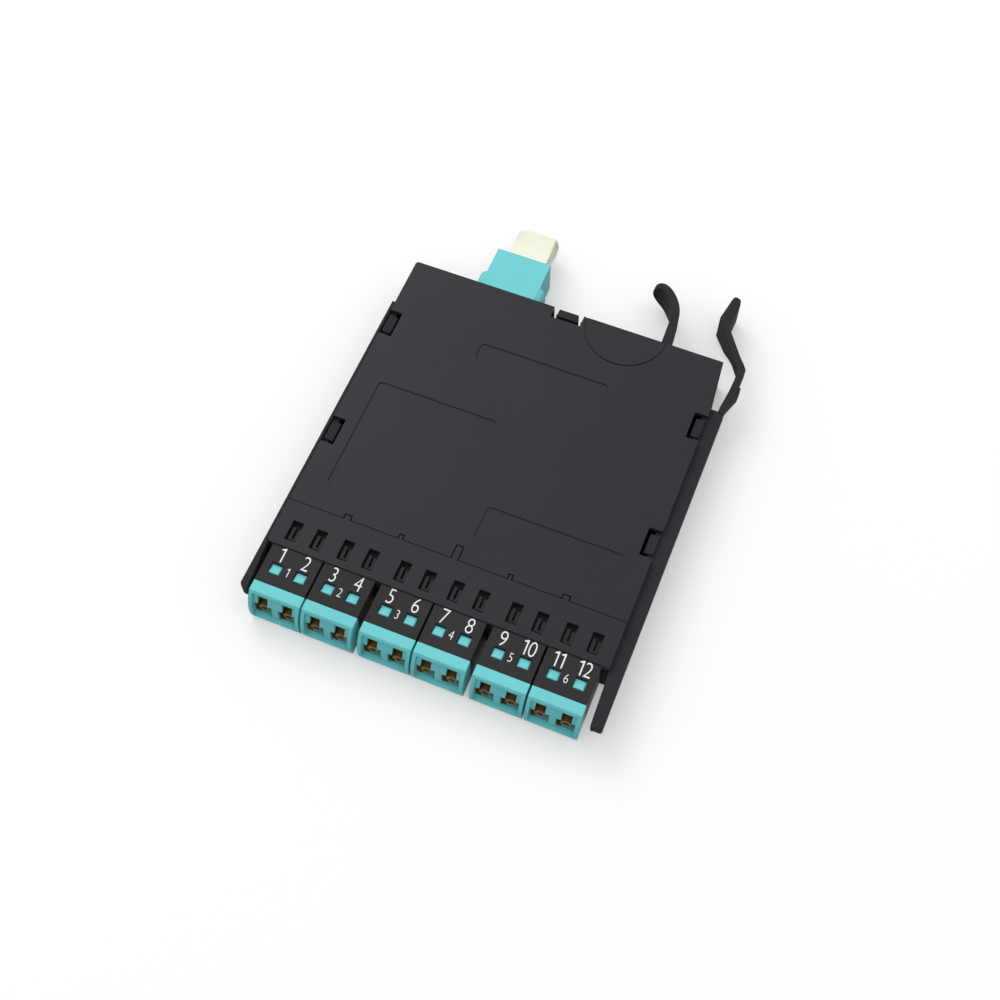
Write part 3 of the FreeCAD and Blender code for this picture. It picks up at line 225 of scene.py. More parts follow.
def figure_one():
    """Outline of the figure 1, one unit tall: an upright stem with a slanting flag at its top."""
    return [(0.2, 0), (0.29, 0), (0.29, 1), (0.225, 1), (0.0, 0.875), (0.0, 0.83), (0.2, 0.815)]


def figure_mesh(figure):
    """Solid figure one unit tall and one thick, as points and faces. Its left edge is at zero."""
    if figure == "1":
        outline = figure_one()
        count = len(outline)
        points = np.array([(*corner, level) for level in (-0.5, 0.5) for corner in outline])
        faces = [list(range(count))[::-1], list(range(count, 2 * count))]
        faces += [[at, (at + 1) % count, (at + 1) % count + count, at + count] for at in range(count)]
        return points, faces
    curve = bpy.data.curves.new("figure", "FONT")
    curve.body = figure
    curve.extrude, curve.offset = 0.5, FIGURE_THINNING
    text = added("figure", curve)
    bpy.context.view_layer.update()
    mesh = bpy.data.meshes.new_from_object(text.evaluated_get(bpy.context.evaluated_depsgraph_get()))
    points = np.empty(len(mesh.vertices) * 3)
    mesh.vertices.foreach_get("co", points)
    points = points.reshape(-1, 3)
    faces = [list(polygon.vertices) for polygon in mesh.polygons]
    bpy.data.objects.remove(text)
    bpy.data.curves.remove(curve)
    bpy.data.meshes.remove(mesh)
    low, high = points.min(0), points.max(0)
    tall = high[1] - low[1]
    return (points - (low[0], low[1], 0)) / (tall / FIGURE_WIDTH, tall, 1), faces


def label_mesh(name, entries, thickness, material):
    """One mesh of flat numbers. Each entry is its words, its height and the place of its middle."""
    blocks, faces = [], []
    start = 0
    for words, height, place in entries:
        across, figures = 0.0, []
        for figure in words:
            points, polygons = figure_mesh(figure)
            faces += [[start + corner for corner in polygon] for polygon in polygons]
            start += len(points)
            figures.append(points + (across, 0, 0))
            across += points[:, 0].max() + FIGURE_SPACE
        flat = np.concatenate(figures)
        middle = ((across - FIGURE_SPACE) / 2, 0.5, 0)
        lift = np.array((0, 0, thickness / 2))
        blocks.append((flat - middle) * (height, height, thickness) + place + lift)
    piece = added_mesh(name, np.concatenate(blocks), faces, material)
    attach(piece, BODY)
    return piece


def closed_mesh(name, points, faces, material, body, slot, stands_for):
    """Piece made of points in millimetres and of faces, which rides on a body and stands for CAD nodes."""
    piece = added_mesh(name, np.asarray(points) * MM, faces, material)
    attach(piece, body)
    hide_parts(*stands_for)
    return piece


def joined(*parts):
    """Points and faces of several closed skins as one list of points and one of faces."""
    points, faces, start = [], [], 0
    for some_points, some_faces in parts:
        points.append(np.asarray(some_points))
        faces += [[start + corner for corner in face] for face in some_faces]
        start += len(some_points)
    return np.concatenate(points), faces


def block_of_cells(lattice, filled):
    """Skin of the filled cells of a lattice.

    The lattice holds points over (i, j, k), and a cell lies between each and the next. A face stands
    wherever a filled cell meets an empty one, and its corners run so that it looks out of the filled one.
    """
    counts = lattice.shape[:3]
    padded = np.pad(filled, 1)
    quads = []
    for axis in range(3):
        for step in (1, -1):
            beyond = np.roll(padded, -step, axis)[1:-1, 1:-1, 1:-1]
            at = np.argwhere(filled & ~beyond)
            at[:, axis] += step > 0
            one, two = (axis + 1) % 3, (axis + 2) % 3
            turns = ((0, 0), (1, 0), (1, 1), (0, 1))[::step]
            corners = np.repeat(at[:, None, :], 4, axis=1)
            corners[:, :, one] += [turn[0] for turn in turns]
            corners[:, :, two] += [turn[1] for turn in turns]
            quads.append(np.ravel_multi_index(np.moveaxis(corners, 2, 0), counts))
    used, faces = np.unique(np.concatenate(quads), return_inverse=True)
    return lattice.reshape(-1, 3)[used], faces.reshape(-1, 4).tolist()


def straight_lattice(across, along, up):
    """Lattice whose planes lie at the given places in X, Y and Z, and the middles of its cells."""
    lattice = np.stack(np.meshgrid(across, along, up, indexing="ij"), axis=-1)
    return lattice, cell_middles(across, along, up)


def cell_middles(*lines):
    """Middles between neighbouring lines, as arrays over the cells."""
    return np.meshgrid(*((np.asarray(line)[1:] + np.asarray(line)[:-1]) / 2 for line in lines), indexing="ij")


def swept(rings):
    """Skin of closed loops carried along a path, an array over (ring, corner, xyz), with its ends closed."""
    count, corners = rings.shape[:2]
    index = np.arange(count * corners).reshape(count, corners)
    here, beside = index, np.roll(index, -1, axis=1)
    quads = np.stack([here[:-1], beside[:-1], beside[1:], here[1:]], axis=-1).reshape(-1, 4)
    faces = quads.tolist() + [index[0, ::-1].tolist(), index[-1].tolist()]
    points = rings.reshape(-1, 3)
    return (points, faces) if volume_sign(points, quads) >= 0 else (points, [face[::-1] for face in faces])


def volume_sign(points, quads):
    """Positive where the sides of a closed skin look outwards: the summed volume under its quads."""
    corners = points[quads] - points.mean(0)
    fan = np.cross(corners[:, 1], corners[:, 2]) + np.cross(corners[:, 2], corners[:, 3])
    return np.einsum("ij,ij->", corners[:, 0], fan)


def prism(outline, low, high):
    """Skin of an outline in plan raised from one height to another."""
    outline = np.asarray(outline, float)
    rings = [np.column_stack([outline, np.full(len(outline), level)]) for level in (low, high)]
    return swept(np.stack(rings))


def turned_tube(profile, middle_across, middle_up, sides=24):
    """Skin of a closed profile of radius and Y, turned about a line along Y."""
    angle = np.arange(sides) * 2 * np.pi / sides
    radius, along = np.asarray(profile, float).T
    points = np.stack([middle_across + radius[None] * np.cos(angle)[:, None],
                       np.broadcast_to(along, (sides, len(along))),
                       middle_up + radius[None] * np.sin(angle)[:, None]], axis=-1)
    index = np.arange(sides * len(along)).reshape(sides, len(along))
    turned, beside = np.roll(index, -1, axis=0), np.roll(index, -1, axis=1)
    both = np.roll(turned, -1, axis=1)
    faces = np.stack([index, beside, both, turned], axis=-1).reshape(-1, 4)
    return points.reshape(-1, 3), faces.tolist()


def inside(values, low, high):
    """Whether values lie between two limits."""
    return (values > low) & (values < high)


def sorted_lines(*places):
    """Places of planes in order, each once."""
    return np.unique(np.round(np.concatenate([np.atleast_1d(place) for place in places]), 4))


def plate_middle(bay):
    """Middle of a number plate in X, and the height of its top."""
    low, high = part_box(f"number_plate_{bay + 1}")
    return (low.x + high.x) / 2, high.z


def housing_front():
    """Y of the front face of the strip over the bays."""
    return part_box("front_strip")[0].y


class AdapterSizes:
    """Sizes of a duplex adapter in millimetres, taken about its own middle in X."""

    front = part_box("front_strip")[0].y / MM
    low, high = (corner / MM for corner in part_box("lc_adapter_1"))
    flange = (high.x - low.x) / 2
    body = 5.9
    side_wall = 0.27
    face_centre = (front - 2.6, 3.15)
    face_radius = 12.4
    recess_half, recess_low, recess_high, recess_depth = 5.45, 0.9, 9.9, 0.9
    face_wall = 0.6
    flange_back = front - 9.9
    core_back, body_step = front - 1.35, front - 0.9
    body_top, rear_low, rear_top = 9.55, 1.25, 8.1
    rear_hollow_top = rear_top - 0.45
    pitch = 6.25
    axis = 4.0
    port_half, slot_half, slot_top = 2.3, 1.25, 8.6
    cavity_low, cavity_top = 1.45, 8.65


def bulge(radius, up):
    """Y of the bulging face at a height: a circle of the radius about the face's centre."""
    centre_along, centre_up = AdapterSizes.face_centre
    return centre_along - np.sqrt(radius ** 2 - (up - centre_up) ** 2)


def bulging_lattice(across, radii, planes, up):
    """Lattice whose first layers follow the bulging face at some radii, and whose others are planes in Y."""
    layers = [bulge(radius, up) for radius in radii] + [np.full(len(up), plane) for plane in planes]
    shape = (len(across), len(layers), len(up))
    lattice = np.empty((*shape, 3))
    lattice[..., 0] = np.asarray(across)[:, None, None]
    lattice[..., 1] = np.stack(layers)[None]
    lattice[..., 2] = np.asarray(up)[None, None]
    return lattice, cell_middles(across, np.arange(len(layers)), up)


def port_middles():
    """X of an adapter's two ports about its middle."""
    return np.array([-0.5, 0.5]) * AdapterSizes.pitch


def in_mouth(across, up, shrink=0.0):
    """Whether places lie in a port's outline: a square mouth with a narrower latch slot over it."""
    size = AdapterSizes
    found = np.zeros(np.broadcast(across, up).shape, bool)
    for middle in port_middles():
        aside = np.abs(across - middle)
        square = (aside < size.port_half - shrink) & inside(up, size.axis - size.port_half,
                                                           size.axis + size.port_half)
        slot = (aside < size.slot_half) & inside(up, size.axis, size.slot_top - shrink)
        found |= square | slot
    return found


def shell_skin():
    """Adapter shell: framed bulging face, thin port wall, hollow flange, body and rear body."""
    size = AdapterSizes
    port = [middle + side * half for middle in port_middles() for side in (-1, 1)
            for half in (size.port_half, size.slot_half)]
    hollow = size.body - size.side_wall
    across = sorted_lines([-size.flange, -size.body, -hollow, -size.recess_half], port,
                          [size.recess_half, hollow, size.body, size.flange])
    marks = [size.low.z, size.recess_low, size.rear_low, size.cavity_low, size.axis - size.port_half,
             size.axis + size.port_half, size.rear_hollow_top, size.rear_top, size.slot_top,
             size.cavity_top, size.body_top, size.recess_high, size.high.z]
    up = sorted_lines(marks, np.linspace(size.low.z, size.high.z, 33)[1:-1])
    radii = [size.face_radius, size.face_radius - size.recess_depth,
             size.face_radius - size.recess_depth - size.face_wall]
    planes = [size.flange_back, size.core_back, size.body_step, size.high.y]
    lattice, (x, layer, z) = bulging_lattice(across, radii, planes, up)
    recess = (np.abs(x) < size.recess_half) & inside(z, size.recess_low, size.recess_high)
    body = (np.abs(x) < size.body) & (z < size.body_top)
    front_hollow = (np.abs(x) < hollow) & inside(z, size.cavity_low, size.cavity_top)
    rear_hollow = (np.abs(x) < hollow) & inside(z, size.axis - size.port_half, size.rear_hollow_top)
    rear_body = (np.abs(x) < size.body) & inside(z, size.rear_low, size.rear_top)
    slabs = (~recess, ~in_mouth(x, z), ~front_hollow, body & ~front_hollow, body & ~rear_hollow,
             rear_body & ~rear_hollow)
    filled = np.choose(layer.astype(int), slabs)
    return block_of_cells(lattice, filled)


def window_places():
    """Low and high corners in plan of the two windows of a number plate, about the adapter's middle."""
    aside, half_width, half_depth = 0.1, 1.45, 1.36
    along = AdapterSizes.front - 5.75
    return [((middle + aside - half_width, along - half_depth),
             (middle + aside + half_width, along + half_depth)) for middle in port_middles()]


def boss_skins():
    """Raised bosses of the shell that fill the number plate's windows, with sloping edges."""
    bottom = AdapterSizes.body_top - 0.2
    gap, top_gap = 0.08, 0.32
    # Height at the front edge, height at the back edge, and gap to the window's edges.
    levels = ((bottom, bottom, gap), (10.2, 9.75, gap), (10.36, 9.95, top_gap))
    skins = []
    for (left, front), (right, back) in window_places():
        rings = []
        for near, far, inset in levels:
            low, high = (left + inset, front + inset), (right - inset, back - inset)
            rings.append([(low[0], low[1], near), (high[0], low[1], near), (high[0], high[1], far),
                          (low[0], high[1], far)])
        skins.append(swept(np.array(rings)))
    return skins


def core_skin():
    """Core of an adapter: side linings behind the port wall, a ledge on each floor, and a back wall."""
    size = AdapterSizes
    half = size.body - size.side_wall - PLAY
    lining = size.port_half - PLAY
    ledge, set_back, wall = 1.1, 1.55, 2.6
    curve_low, curve_top, curve_steps = 2.2, 8.0, 12
    port = [middle + side * width for middle in port_middles() for side in (-1, 1)
            for width in (lining, size.slot_half)]
    across = sorted_lines([-half, half], port, [middle - lining + ledge for middle in port_middles()])
    floor = size.axis - size.port_half
    top = size.slot_top - 0.225
    up = sorted_lines([size.cavity_low + PLAY, floor, size.axis + size.port_half, top, size.slot_top],
                      np.linspace(curve_low, curve_top, curve_steps))
    planes = [size.core_back - wall, size.core_back]
    lattice, (x, layer, z) = bulging_lattice(across, [size.face_radius - set_back], planes, up)
    opening = in_mouth(x, z, PLAY) & (z < top)
    for middle in port_middles():
        opening |= inside(x, middle - lining + ledge, middle + lining) & (z < floor)
    return block_of_cells(lattice, (layer > 1) | ~opening)


def nose_skins():
    """Round noses of the core that hold the sleeves, each with a small hole in its front lip."""
    size = AdapterSizes
    front, back = size.front - 13.3, size.core_back
    outer, rim, hole, bore = 1.5, 1.35, 0.75, 0.93
    slope, lip = 0.15, 0.35
    profile = [(outer, back), (outer, front + slope), (rim, front), (hole, front), (hole, front + lip),
               (bore, front + lip), (bore, back)]
    return [turned_tube(profile, middle, size.axis) for middle in port_middles()]


def plate_skin():
    """Number plate: a saddle over the adapter with two windows, a web and a tongue behind it."""
    size = AdapterSizes
    top, under = 10.65, size.body_top + PLAY
    inner = size.body + PLAY
    tongue_half, tongue_low, tongue_top = 5.3, 8.15, 8.8
    start, web_start, web_end = size.flange_back + PLAY, size.body_step + PLAY, size.front - PLAY
    tongue_end = size.front + 7.45
    windows = window_places()
    across = sorted_lines([-size.flange, -inner, -tongue_half, tongue_half, inner, size.flange],
                          [corner[0] for pair in windows for corner in pair])
    along = sorted_lines([start, windows[0][0][1], windows[0][1][1], web_start, web_end, tongue_end])
    up = sorted_lines([size.low.z, tongue_low, tongue_top, under, top])
    lattice, (x, y, z) = straight_lattice(across, along, up)
    legs = (np.abs(x) > inner) & (y < web_end)
    roof = (z > under) & (y < web_end)
    for low, high in windows:
        roof &= ~(inside(x, low[0], high[0]) & inside(y, low[1], high[1]))
    narrow = np.abs(x) < tongue_half
    web = narrow & (z > tongue_low) & inside(y, web_start, web_end)
    tongue = narrow & inside(z, tongue_low, tongue_top) & (y > web_start)
    return block_of_cells(lattice, legs | roof | web | tongue)


def clip_skins():
    """Two sprung clips on the plate's tongue, slit from behind, each under a pocket of the strip."""
    aside, left, right, slit = 0.2, -1.1, 1.07, 0.3
    bottom, top = 8.5, 10.2
    front = AdapterSizes.front + 2.3
    left_end = front + 3.5
    right_end, slit_end = left_end - 0.45, front + 0.5
    outline = [(left, front), (right, front), (right, right_end), (slit, right_end), (slit, slit_end),
               (-slit, slit_end), (-slit, left_end), (left, left_end)]
    return [prism([(middle + across, along) for across, along in outline], bottom, top)
            for middle in port_middles() + aside]


def moved(skin, across):
    """Skin shifted along X."""
    points, faces = skin
    return points + (across, 0, 0), faces


class TrunkSizes:
    """Sizes of the multi-fibre adapter at the rear, in millimetres."""

    low, high = (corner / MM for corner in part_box("trunk_adapter"))
    middle = (low.x + high.x) / 2
    half = 7.3
    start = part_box("top_cover")[1].y / MM + PLAY
    wall_top = 10.4
    centre_up = 5.4
    mouth_half, mouth_rise, mouth_depth = 6.25, 3.85, 10.6
    inner_half, inner_low, inner_top = 6.2, 1.25, 9.75
    bore_half, bore_rise = 5.1, 3.2
    hole_half, hole_rise = 3.5, 1.5
    wing_half, wing_near, wing_far = 9.0, 10.3, 8.3
    wing_straight, wing_end = start + 4.05, start + 4.5


def trunk_skin():
    """Rear adapter: outer body with its mouth to the rear, and the slimmer body inside the housing."""
    size = TrunkSizes
    halves = (size.half, size.mouth_half, size.inner_half, size.bore_half, size.hole_half)
    rises = (size.mouth_rise, size.bore_rise, size.hole_rise)
    mouth_floor = size.high.y - size.mouth_depth
    across = sorted_lines([side * half for half in halves for side in (-1, 1)])
    along = sorted_lines([size.low.y, size.start, mouth_floor, size.high.y])
    up = sorted_lines([size.low.z, size.inner_low, size.inner_top, size.wall_top],
                      [size.centre_up + side * rise for rise in rises for side in (-1, 1)])
    lattice, (x, y, z) = straight_lattice(across, along, up)
    aside, off_centre = np.abs(x), np.abs(z - size.centre_up)
    inner = (aside < size.inner_half) & inside(z, size.inner_low, size.inner_top) & (y < size.start)
    inner &= ~((aside < size.bore_half) & (off_centre < size.bore_rise))
    outer = y > size.start
    outer &= ~((y > mouth_floor) & (aside < size.mouth_half) & (off_centre < size.mouth_rise))
    outer &= ~((aside < size.hole_half) & (off_centre < size.hole_rise))
    return block_of_cells(lattice, inner | outer)


def wing_skin(side):
    """Wing on one side of the rear adapter: a rounded shoulder at the body's edge, and a square rear end."""
    size = TrunkSizes
    overlap, rounding = 0.3, 0.12
    inner, width, drop = size.half - overlap, size.wing_half - size.half, size.wing_near - size.wing_far
    # Shares of the wing's width, each with its share of the shoulder's fall.
    shoulder = [(0, 0), (0.5, 0.2), (0.85, 0.55), (1, 1)]
    # Places along the wing, each with the share of the width that it has there.
    sections = ((size.start, 1), (size.wing_straight, 1), (size.wing_end - rounding, 0.9),
                (size.wing_end, 0.72))
    rings = []
    for along, reach in sections:
        ring = [(inner, size.wing_near)]
        ring += [(size.half + reach * width * share, size.wing_near - drop * fall)
                 for share, fall in shoulder]
        ring += [(size.half + reach * width, size.low.z), (inner, size.low.z)]
        rings.append([(side * across, along, up) for across, up in ring])
    return swept(np.array(rings))


def bowed(start, stop, bend, count=9):
    """Arc from one point to another that stands out to the right by a share of its chord."""
    start, stop = np.asarray(start, float), np.asarray(stop, float)
    share = np.linspace(0, 1, count)[:, None]
    aside = np.array([stop[1] - start[1], start[0] - stop[0]])
    return start + (stop - start) * share + aside * bend * 4 * share * (1 - share)


def cap_skins():
    """Dust cap: a plug in the mouth, and a leaf-shaped grip whose side outline is carried across it."""
    size = TrunkSizes
    rear, reach, bottom, height = size.high.y, 10.9, 2.75, 7.45
    aside, plug_gap, plug_depth = 0.65, 0.3, 8.4
    # Corners of the side outline, each with its place in Y and its share of the height.
    knots = [(rear - 1, 0.242), (rear + 0.376 * reach, 0.262), (rear + 0.706 * reach, 0),
             (rear + reach, 0.195), (rear + 0.78 * reach, 1.0), (rear - 1, 0.825)]
    knots = [(along, bottom + share * height) for along, share in knots]
    bends = (0, 0, 0.12, 0.06, -0.045)
    outline = np.concatenate([bowed(start, stop, bend)[:-1]
                              for start, stop, bend in zip(knots, knots[1:], bends)] + [[knots[-1]]])
    # Sections from left to right: place across, scale about the centre, and squash towards the mouth.
    # The last two make the recess in the right end.
    sections = ((-5.05, 0.95, 0.8), (-4.9, 0.99, 0.865), (-4.6, 1, 0.92), (-4.1, 1, 0.965),
                (-3.4, 1, 0.993), (-2.6, 1, 1), (4.85, 1, 1), (5.05, 0.95, 1), (5.05, 0.84, 1),
                (4.75, 0.78, 1))
    centre, foot = outline.mean(0), knots[0][0]
    rings = []
    for place, scale, squash in sections:
        loop = centre + (outline - centre) * scale
        loop[:, 0] = foot + (loop[:, 0] - foot) * squash
        rings.append(np.column_stack([np.full(len(loop), place + aside), loop]))
    half, rise = size.mouth_half - plug_gap, size.mouth_rise - plug_gap
    low, high = size.centre_up - rise, size.centre_up + rise
    plug = [[(-half, along, low), (half, along, low), (half, along, high), (-half, along, high)]
            for along in (rear - plug_depth, rear - 0.02)]
    return [swept(np.stack(rings)), swept(np.array(plug, float))]


class BladeSizes:
    """Sizes of the release arm and of the fixed finger, in millimetres."""

    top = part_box("release_arm")[1].z / MM
    root = (44.75, 30.4)
    reach = 34.3
    height = 8.0
    finger_root = 25.9
    finger_reach = 19.05
    finger_height = 7.6
    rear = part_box("top_cover")[1].y / MM


def blade_skin(inner, outer, top, bottom):
    """Upright blade between two side lines in plan, with functions for the heights of its top and bottom."""
    corners = []
    for line, height in ((inner, top), (outer, top), (outer, bottom), (inner, bottom)):
        corners.append(np.column_stack([line, height(line)]))
    return swept(np.stack(corners, axis=1))


def arm_skin():
    """Release arm: its sides are lines about its root, and its lower edge falls towards the tip.

    The lines are in shares of its reach, and the fall is in shares of its height.
    """
    size = BladeSizes
    outer = np.array([(0.0, -0.0219), (0.0219, 0.0), (0.0224, 0.0394), (0.0704, 0.1793),
                      (0.0704, 0.2420), (0.0487, 0.2440), (0.0557, 0.3382), (0.0563, 0.4023),
                      (0.0379, 0.4344), (-0.0131, 0.4971), (-0.1204, 0.6531), (-0.1746, 0.7303),
                      (-0.1595, 0.8531), (-0.1542, 0.9592), (-0.1647, 0.9898), (-0.1900, 1.0)])
    inner = np.array([(-0.0001, -0.0219), (-0.0219, 0.0), (-0.0219, 0.0289), (-0.0122, 0.1012),
                      (-0.0023, 0.1875), (0.0047, 0.2965), (-0.0009, 0.3848), (-0.0641, 0.4787),
                      (-0.2577, 0.7790), (-0.2219, 0.9781), (-0.2085, 1.0)])
    fall = np.array([(0.0, 0.4), (0.472, 0.4), (0.528, 0.525), (0.615, 0.7875), (0.697, 0.8875),
                     (0.778, 1.0)])
    along = sorted_lines(outer[:, 1], inner[:, 1], fall[:, 0])
    lines = [np.column_stack([np.interp(along, side[:, 1], side[:, 0]), along]) * size.reach + size.root
             for side in (inner, outer)]

    def bottom(line):
        return size.top - size.height * np.interp((line[:, 1] - size.root[1]) / size.reach, *fall.T)

    return blade_skin(*lines, lambda line: np.full(len(line), size.top), bottom)


def finger_skin():
    """Fixed finger: two bowed side lines, deeper towards its tip, whose end is round seen from the front."""
    size = BladeSizes
    tip, end_half = -0.4724, 0.03
    outer_knots = [(0.0735, -0.04), (0.0236, 0.441), (-0.189, 0.8924), (tip, 1.0)]
    inner_knots = [(-0.0709, -0.04), (-0.0866, 0.42), (-0.2467, 0.8084), (tip, 0.9213)]
    lines = []
    for knots, bends in ((inner_knots, (0, 0.1, 0.106)), (outer_knots, (0.008, 0.1, 0.095))):
        line = np.concatenate([bowed(start, stop, bend, 15)[:-1]
                               for start, stop, bend in zip(knots, knots[1:], bends)] + [[knots[-1]]])
        lines.append(line * size.finger_reach + (size.finger_root, size.rear))
    end = size.finger_root + tip * size.finger_reach
    radius = size.finger_height / 2
    middle = size.top - radius
    fall = np.array([(0.0, 0.421), (0.105, 0.421), (0.556, 0.763), (0.74, 1.0)])

    def rounding(line):
        short = np.clip(end + radius - line[:, 0], 0, radius - end_half)
        return np.sqrt(radius ** 2 - short ** 2)

    def bottom(line):
        share = np.interp((line[:, 1] - size.rear) / size.finger_reach, *fall.T)
        return np.maximum(size.top - size.finger_height * share, middle - rounding(line))

    def top(line):
        near = line[:, 0] > end + radius
        return np.where(near, size.top, middle + rounding(line))

    return blade_skin(*lines, top, bottom)


def tongue_skin():
    """Tongue of the left rail in front of the housing: wider at its tip and deeper at its root."""
    outer, root_inner, tip_inner = -43.0, -42.0, -41.1
    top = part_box("top_cover")[1].z / MM
    front = AdapterSizes.front
    tip = front - 12.8
    root_low, tip_low = 3.2, 7.25
    # Sections from root to tip: place along, left side, right side and height of the lower edge.
    sections = ((front + 0.5, outer, root_inner, root_low), (front - 0.05, outer, root_inner, root_low),
                (front - 5.0, outer, root_inner + 0.35, 6.0), (tip + 0.9, outer, tip_inner - 0.05, tip_low),
                (tip + 0.225, outer + 0.45, tip_inner, tip_low), (tip, outer + 0.9, tip_inner, tip_low))
    rings = [[(left, along, low), (right, along, low), (right, along, top), (left, along, top)]
             for along, left, right, low in sections]
    return swept(np.array(rings))


def edge_skin():
    """Strip along the right rail's tongue that makes its inner edge straight from root to tip."""
    front = AdapterSizes.front
    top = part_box("top_cover")[1].z / MM - 1.5
    height, outer = 3.2, 43.5
    root, tip = front - 0.5, front - 13.55
    outline = [(42.32, root), (42.8, front - 13.2), (43.15, tip), (outer, tip), (outer, root)]
    return prism(outline, top - height, top)


def box_skin(low, high):
    """Skin of an upright box between two corners."""
    outline = [(low[0], low[1]), (high[0], low[1]), (high[0], high[1]), (low[0], high[1])]
    return prism(outline, low[2], high[2])


def tray_cuts():
    """Skins to cut from the tray: its finger, its left tongue, and a tapered gap on each side of its tab."""
    rear, front = BladeSizes.rear, AdapterSizes.front
    below, gap_bottom, above = -1, 3.0, 12
    finger = box_skin((10, rear + 0.01, below), (32, rear + 40, above))
    tongue = box_skin((-50, front - 20, below), (-40.82, front - 0.02, above))
    gap = ((2.5, 0.5), (3.05, -1.7), (3.5, -1.7), (4.1, 0.5))
    gaps = [prism([(side * across, rear + along) for across, along in gap], gap_bottom, above)
            for side in (1, -1)]
    return [finger, tongue, *gaps]


def plain_object(name, skin):
    """Object of a skin in millimetres, for use as a tool in a cut or a join."""
    mesh = bpy.data.meshes.new(name)
    mesh.from_pydata((skin[0] * MM).tolist(), [], skin[1])
    return added(name, mesh)


def reshaped_copy(node, name, cuts, joins):
    """Copy of a CAD node's mesh, merged, with some skins cut out of it and others joined to it."""
    work = bmesh.new()
    work.from_mesh(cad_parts[node].data)
    bmesh.ops.remove_doubles(work, verts=work.verts, dist=0.001 * MM)
    mesh = bpy.data.meshes.new(name)
    work.to_mesh(mesh)
    work.free()
    piece = added(name, mesh)
    steps = [(skin, "DIFFERENCE") for skin in cuts] + [(skin, "UNION") for skin in joins]
    tools = []
    for number, (skin, operation) in enumerate(steps):
        tool = plain_object(f"tool_{number}", skin)
        change = piece.modifiers.new(f"change_{number}", "BOOLEAN")
        change.operation, change.solver, change.object = operation, "EXACT", tool
        tools.append(tool)
    bpy.context.view_layer.update()
    done = bpy.data.meshes.new_from_object(piece.evaluated_get(bpy.context.evaluated_depsgraph_get()))
    piece.modifiers.clear()
    piece.data = done
    bpy.data.meshes.remove(mesh)
    for tool in tools:
        data = tool.data
        bpy.data.objects.remove(tool)
        bpy.data.meshes.remove(data)
    return piece


class CASSETTE_OT_housing_finish(bpy.types.Operator):
    """Finish the tray, cover, strip and arm"""

    bl_idname = "cassette.housing_finish"
    bl_label = "Housing finish"

    def execute(self, context):
        finish = context.scene.cassette_finish
        housing = plastic("housing_plastic", finish.housing, 0.6, grain_size=0.16 * MM, sheen=0.03)
        dress(nodes_named("top_cover", "front_strip"),
              plastic("cover_plastic", finish.cover, 0.46, grain_size=0.16 * MM, sheen=0.22))
        closed_mesh("sprung_arm", *arm_skin(), housing, "release_arm", "dark_housing", ["release_arm"])
        joins = [finger_skin(), tongue_skin(), edge_skin()]
        tray = reshaped_copy("base_housing", "housing_tray", tray_cuts(), joins)
        tray.data.materials.clear()
        tray.data.materials.append(housing)
        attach(tray, BODY)
        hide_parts("base_housing")
        return {"FINISHED"}


class CASSETTE_OT_adapter_finish(bpy.types.Operator):
    """Finish the adapters, their cores and sleeves, and the dust cap"""

    bl_idname = "cassette.adapter_finish"
    bl_label = "Adapter finish"

    def execute(self, context):
        finish = context.scene.cassette_finish
        shell = plastic("shell_plastic", finish.shell, 0.5, edge=0.1 * MM, spread=0.03, sheen=0.1, glow=0.12)
        core = plastic("core_plastic", finish.core, 0.3, edge=0.06 * MM, spread=0.12, glow=0.1)
        plate = plastic("plate_plastic", finish.plate, 0.5, grain_size=0.12 * MM, sheen=0.1)
        cap = plastic("cap_plastic", finish.cap, 0.36, edge=0.25 * MM, spread=0.02, glow=0.25)
        dress(nodes_named("sleeve"), plastic("sleeve_ceramic", (0.8, 0.79, 0.75), 0.2, edge=0.02 * MM))
        shells = joined(shell_skin(), *boss_skins())
        cores = joined(core_skin(), *nose_skins())
        saddles = joined(plate_skin(), *clip_skins())
        shapes = (("adapter_shell", shells, shell, "aqua_shell", "lc_adapter"),
                  ("adapter_core", cores, core, "bronze_core", "port_core"),
                  ("number_saddle", saddles, plate, "black_plate", "number_plate"))
        for bay in range(BAYS):
            across = plate_middle(bay)[0] / MM
            for name, skin, material, slot, node in shapes:
                placed = moved(skin, across)
                closed_mesh(f"{name}_{bay + 1}", *placed, material, BODY, slot, [f"{node}_{bay + 1}"])
        rear = moved(joined(trunk_skin(), wing_skin(1), wing_skin(-1)), TrunkSizes.middle)
        leaf = moved(joined(*cap_skins()), TrunkSizes.middle)
        closed_mesh("rear_adapter", *rear, shell, BODY, "aqua_shell", ["trunk_adapter"])
        closed_mesh("cap_leaf", *leaf, cap, "dust_cap", "ivory_cap", ["dust_cap"])
        return {"FINISHED"}


class CASSETTE_OT_harness_finish(bpy.types.Operator):
    """Finish the plugs, fibres and block inside the housing"""

    bl_idname = "cassette.harness_finish"
    bl_label = "Harness finish"

    def execute(self, context):
        dress(nodes_named("inner_plug"), plastic("plug_plastic", (0.62, 0.62, 0.58), 0.42))
        dress(nodes_named("trunk_plug", "fanout_block"), plastic("block_plastic", (0.02, 0.02, 0.022), 0.5))
        dress(nodes_named("fibre_pair", "trunk_ribbon"), plastic("fibre_jacket", (0.2, 0.6, 0.58), 0.4))
        return {"FINISHED"}


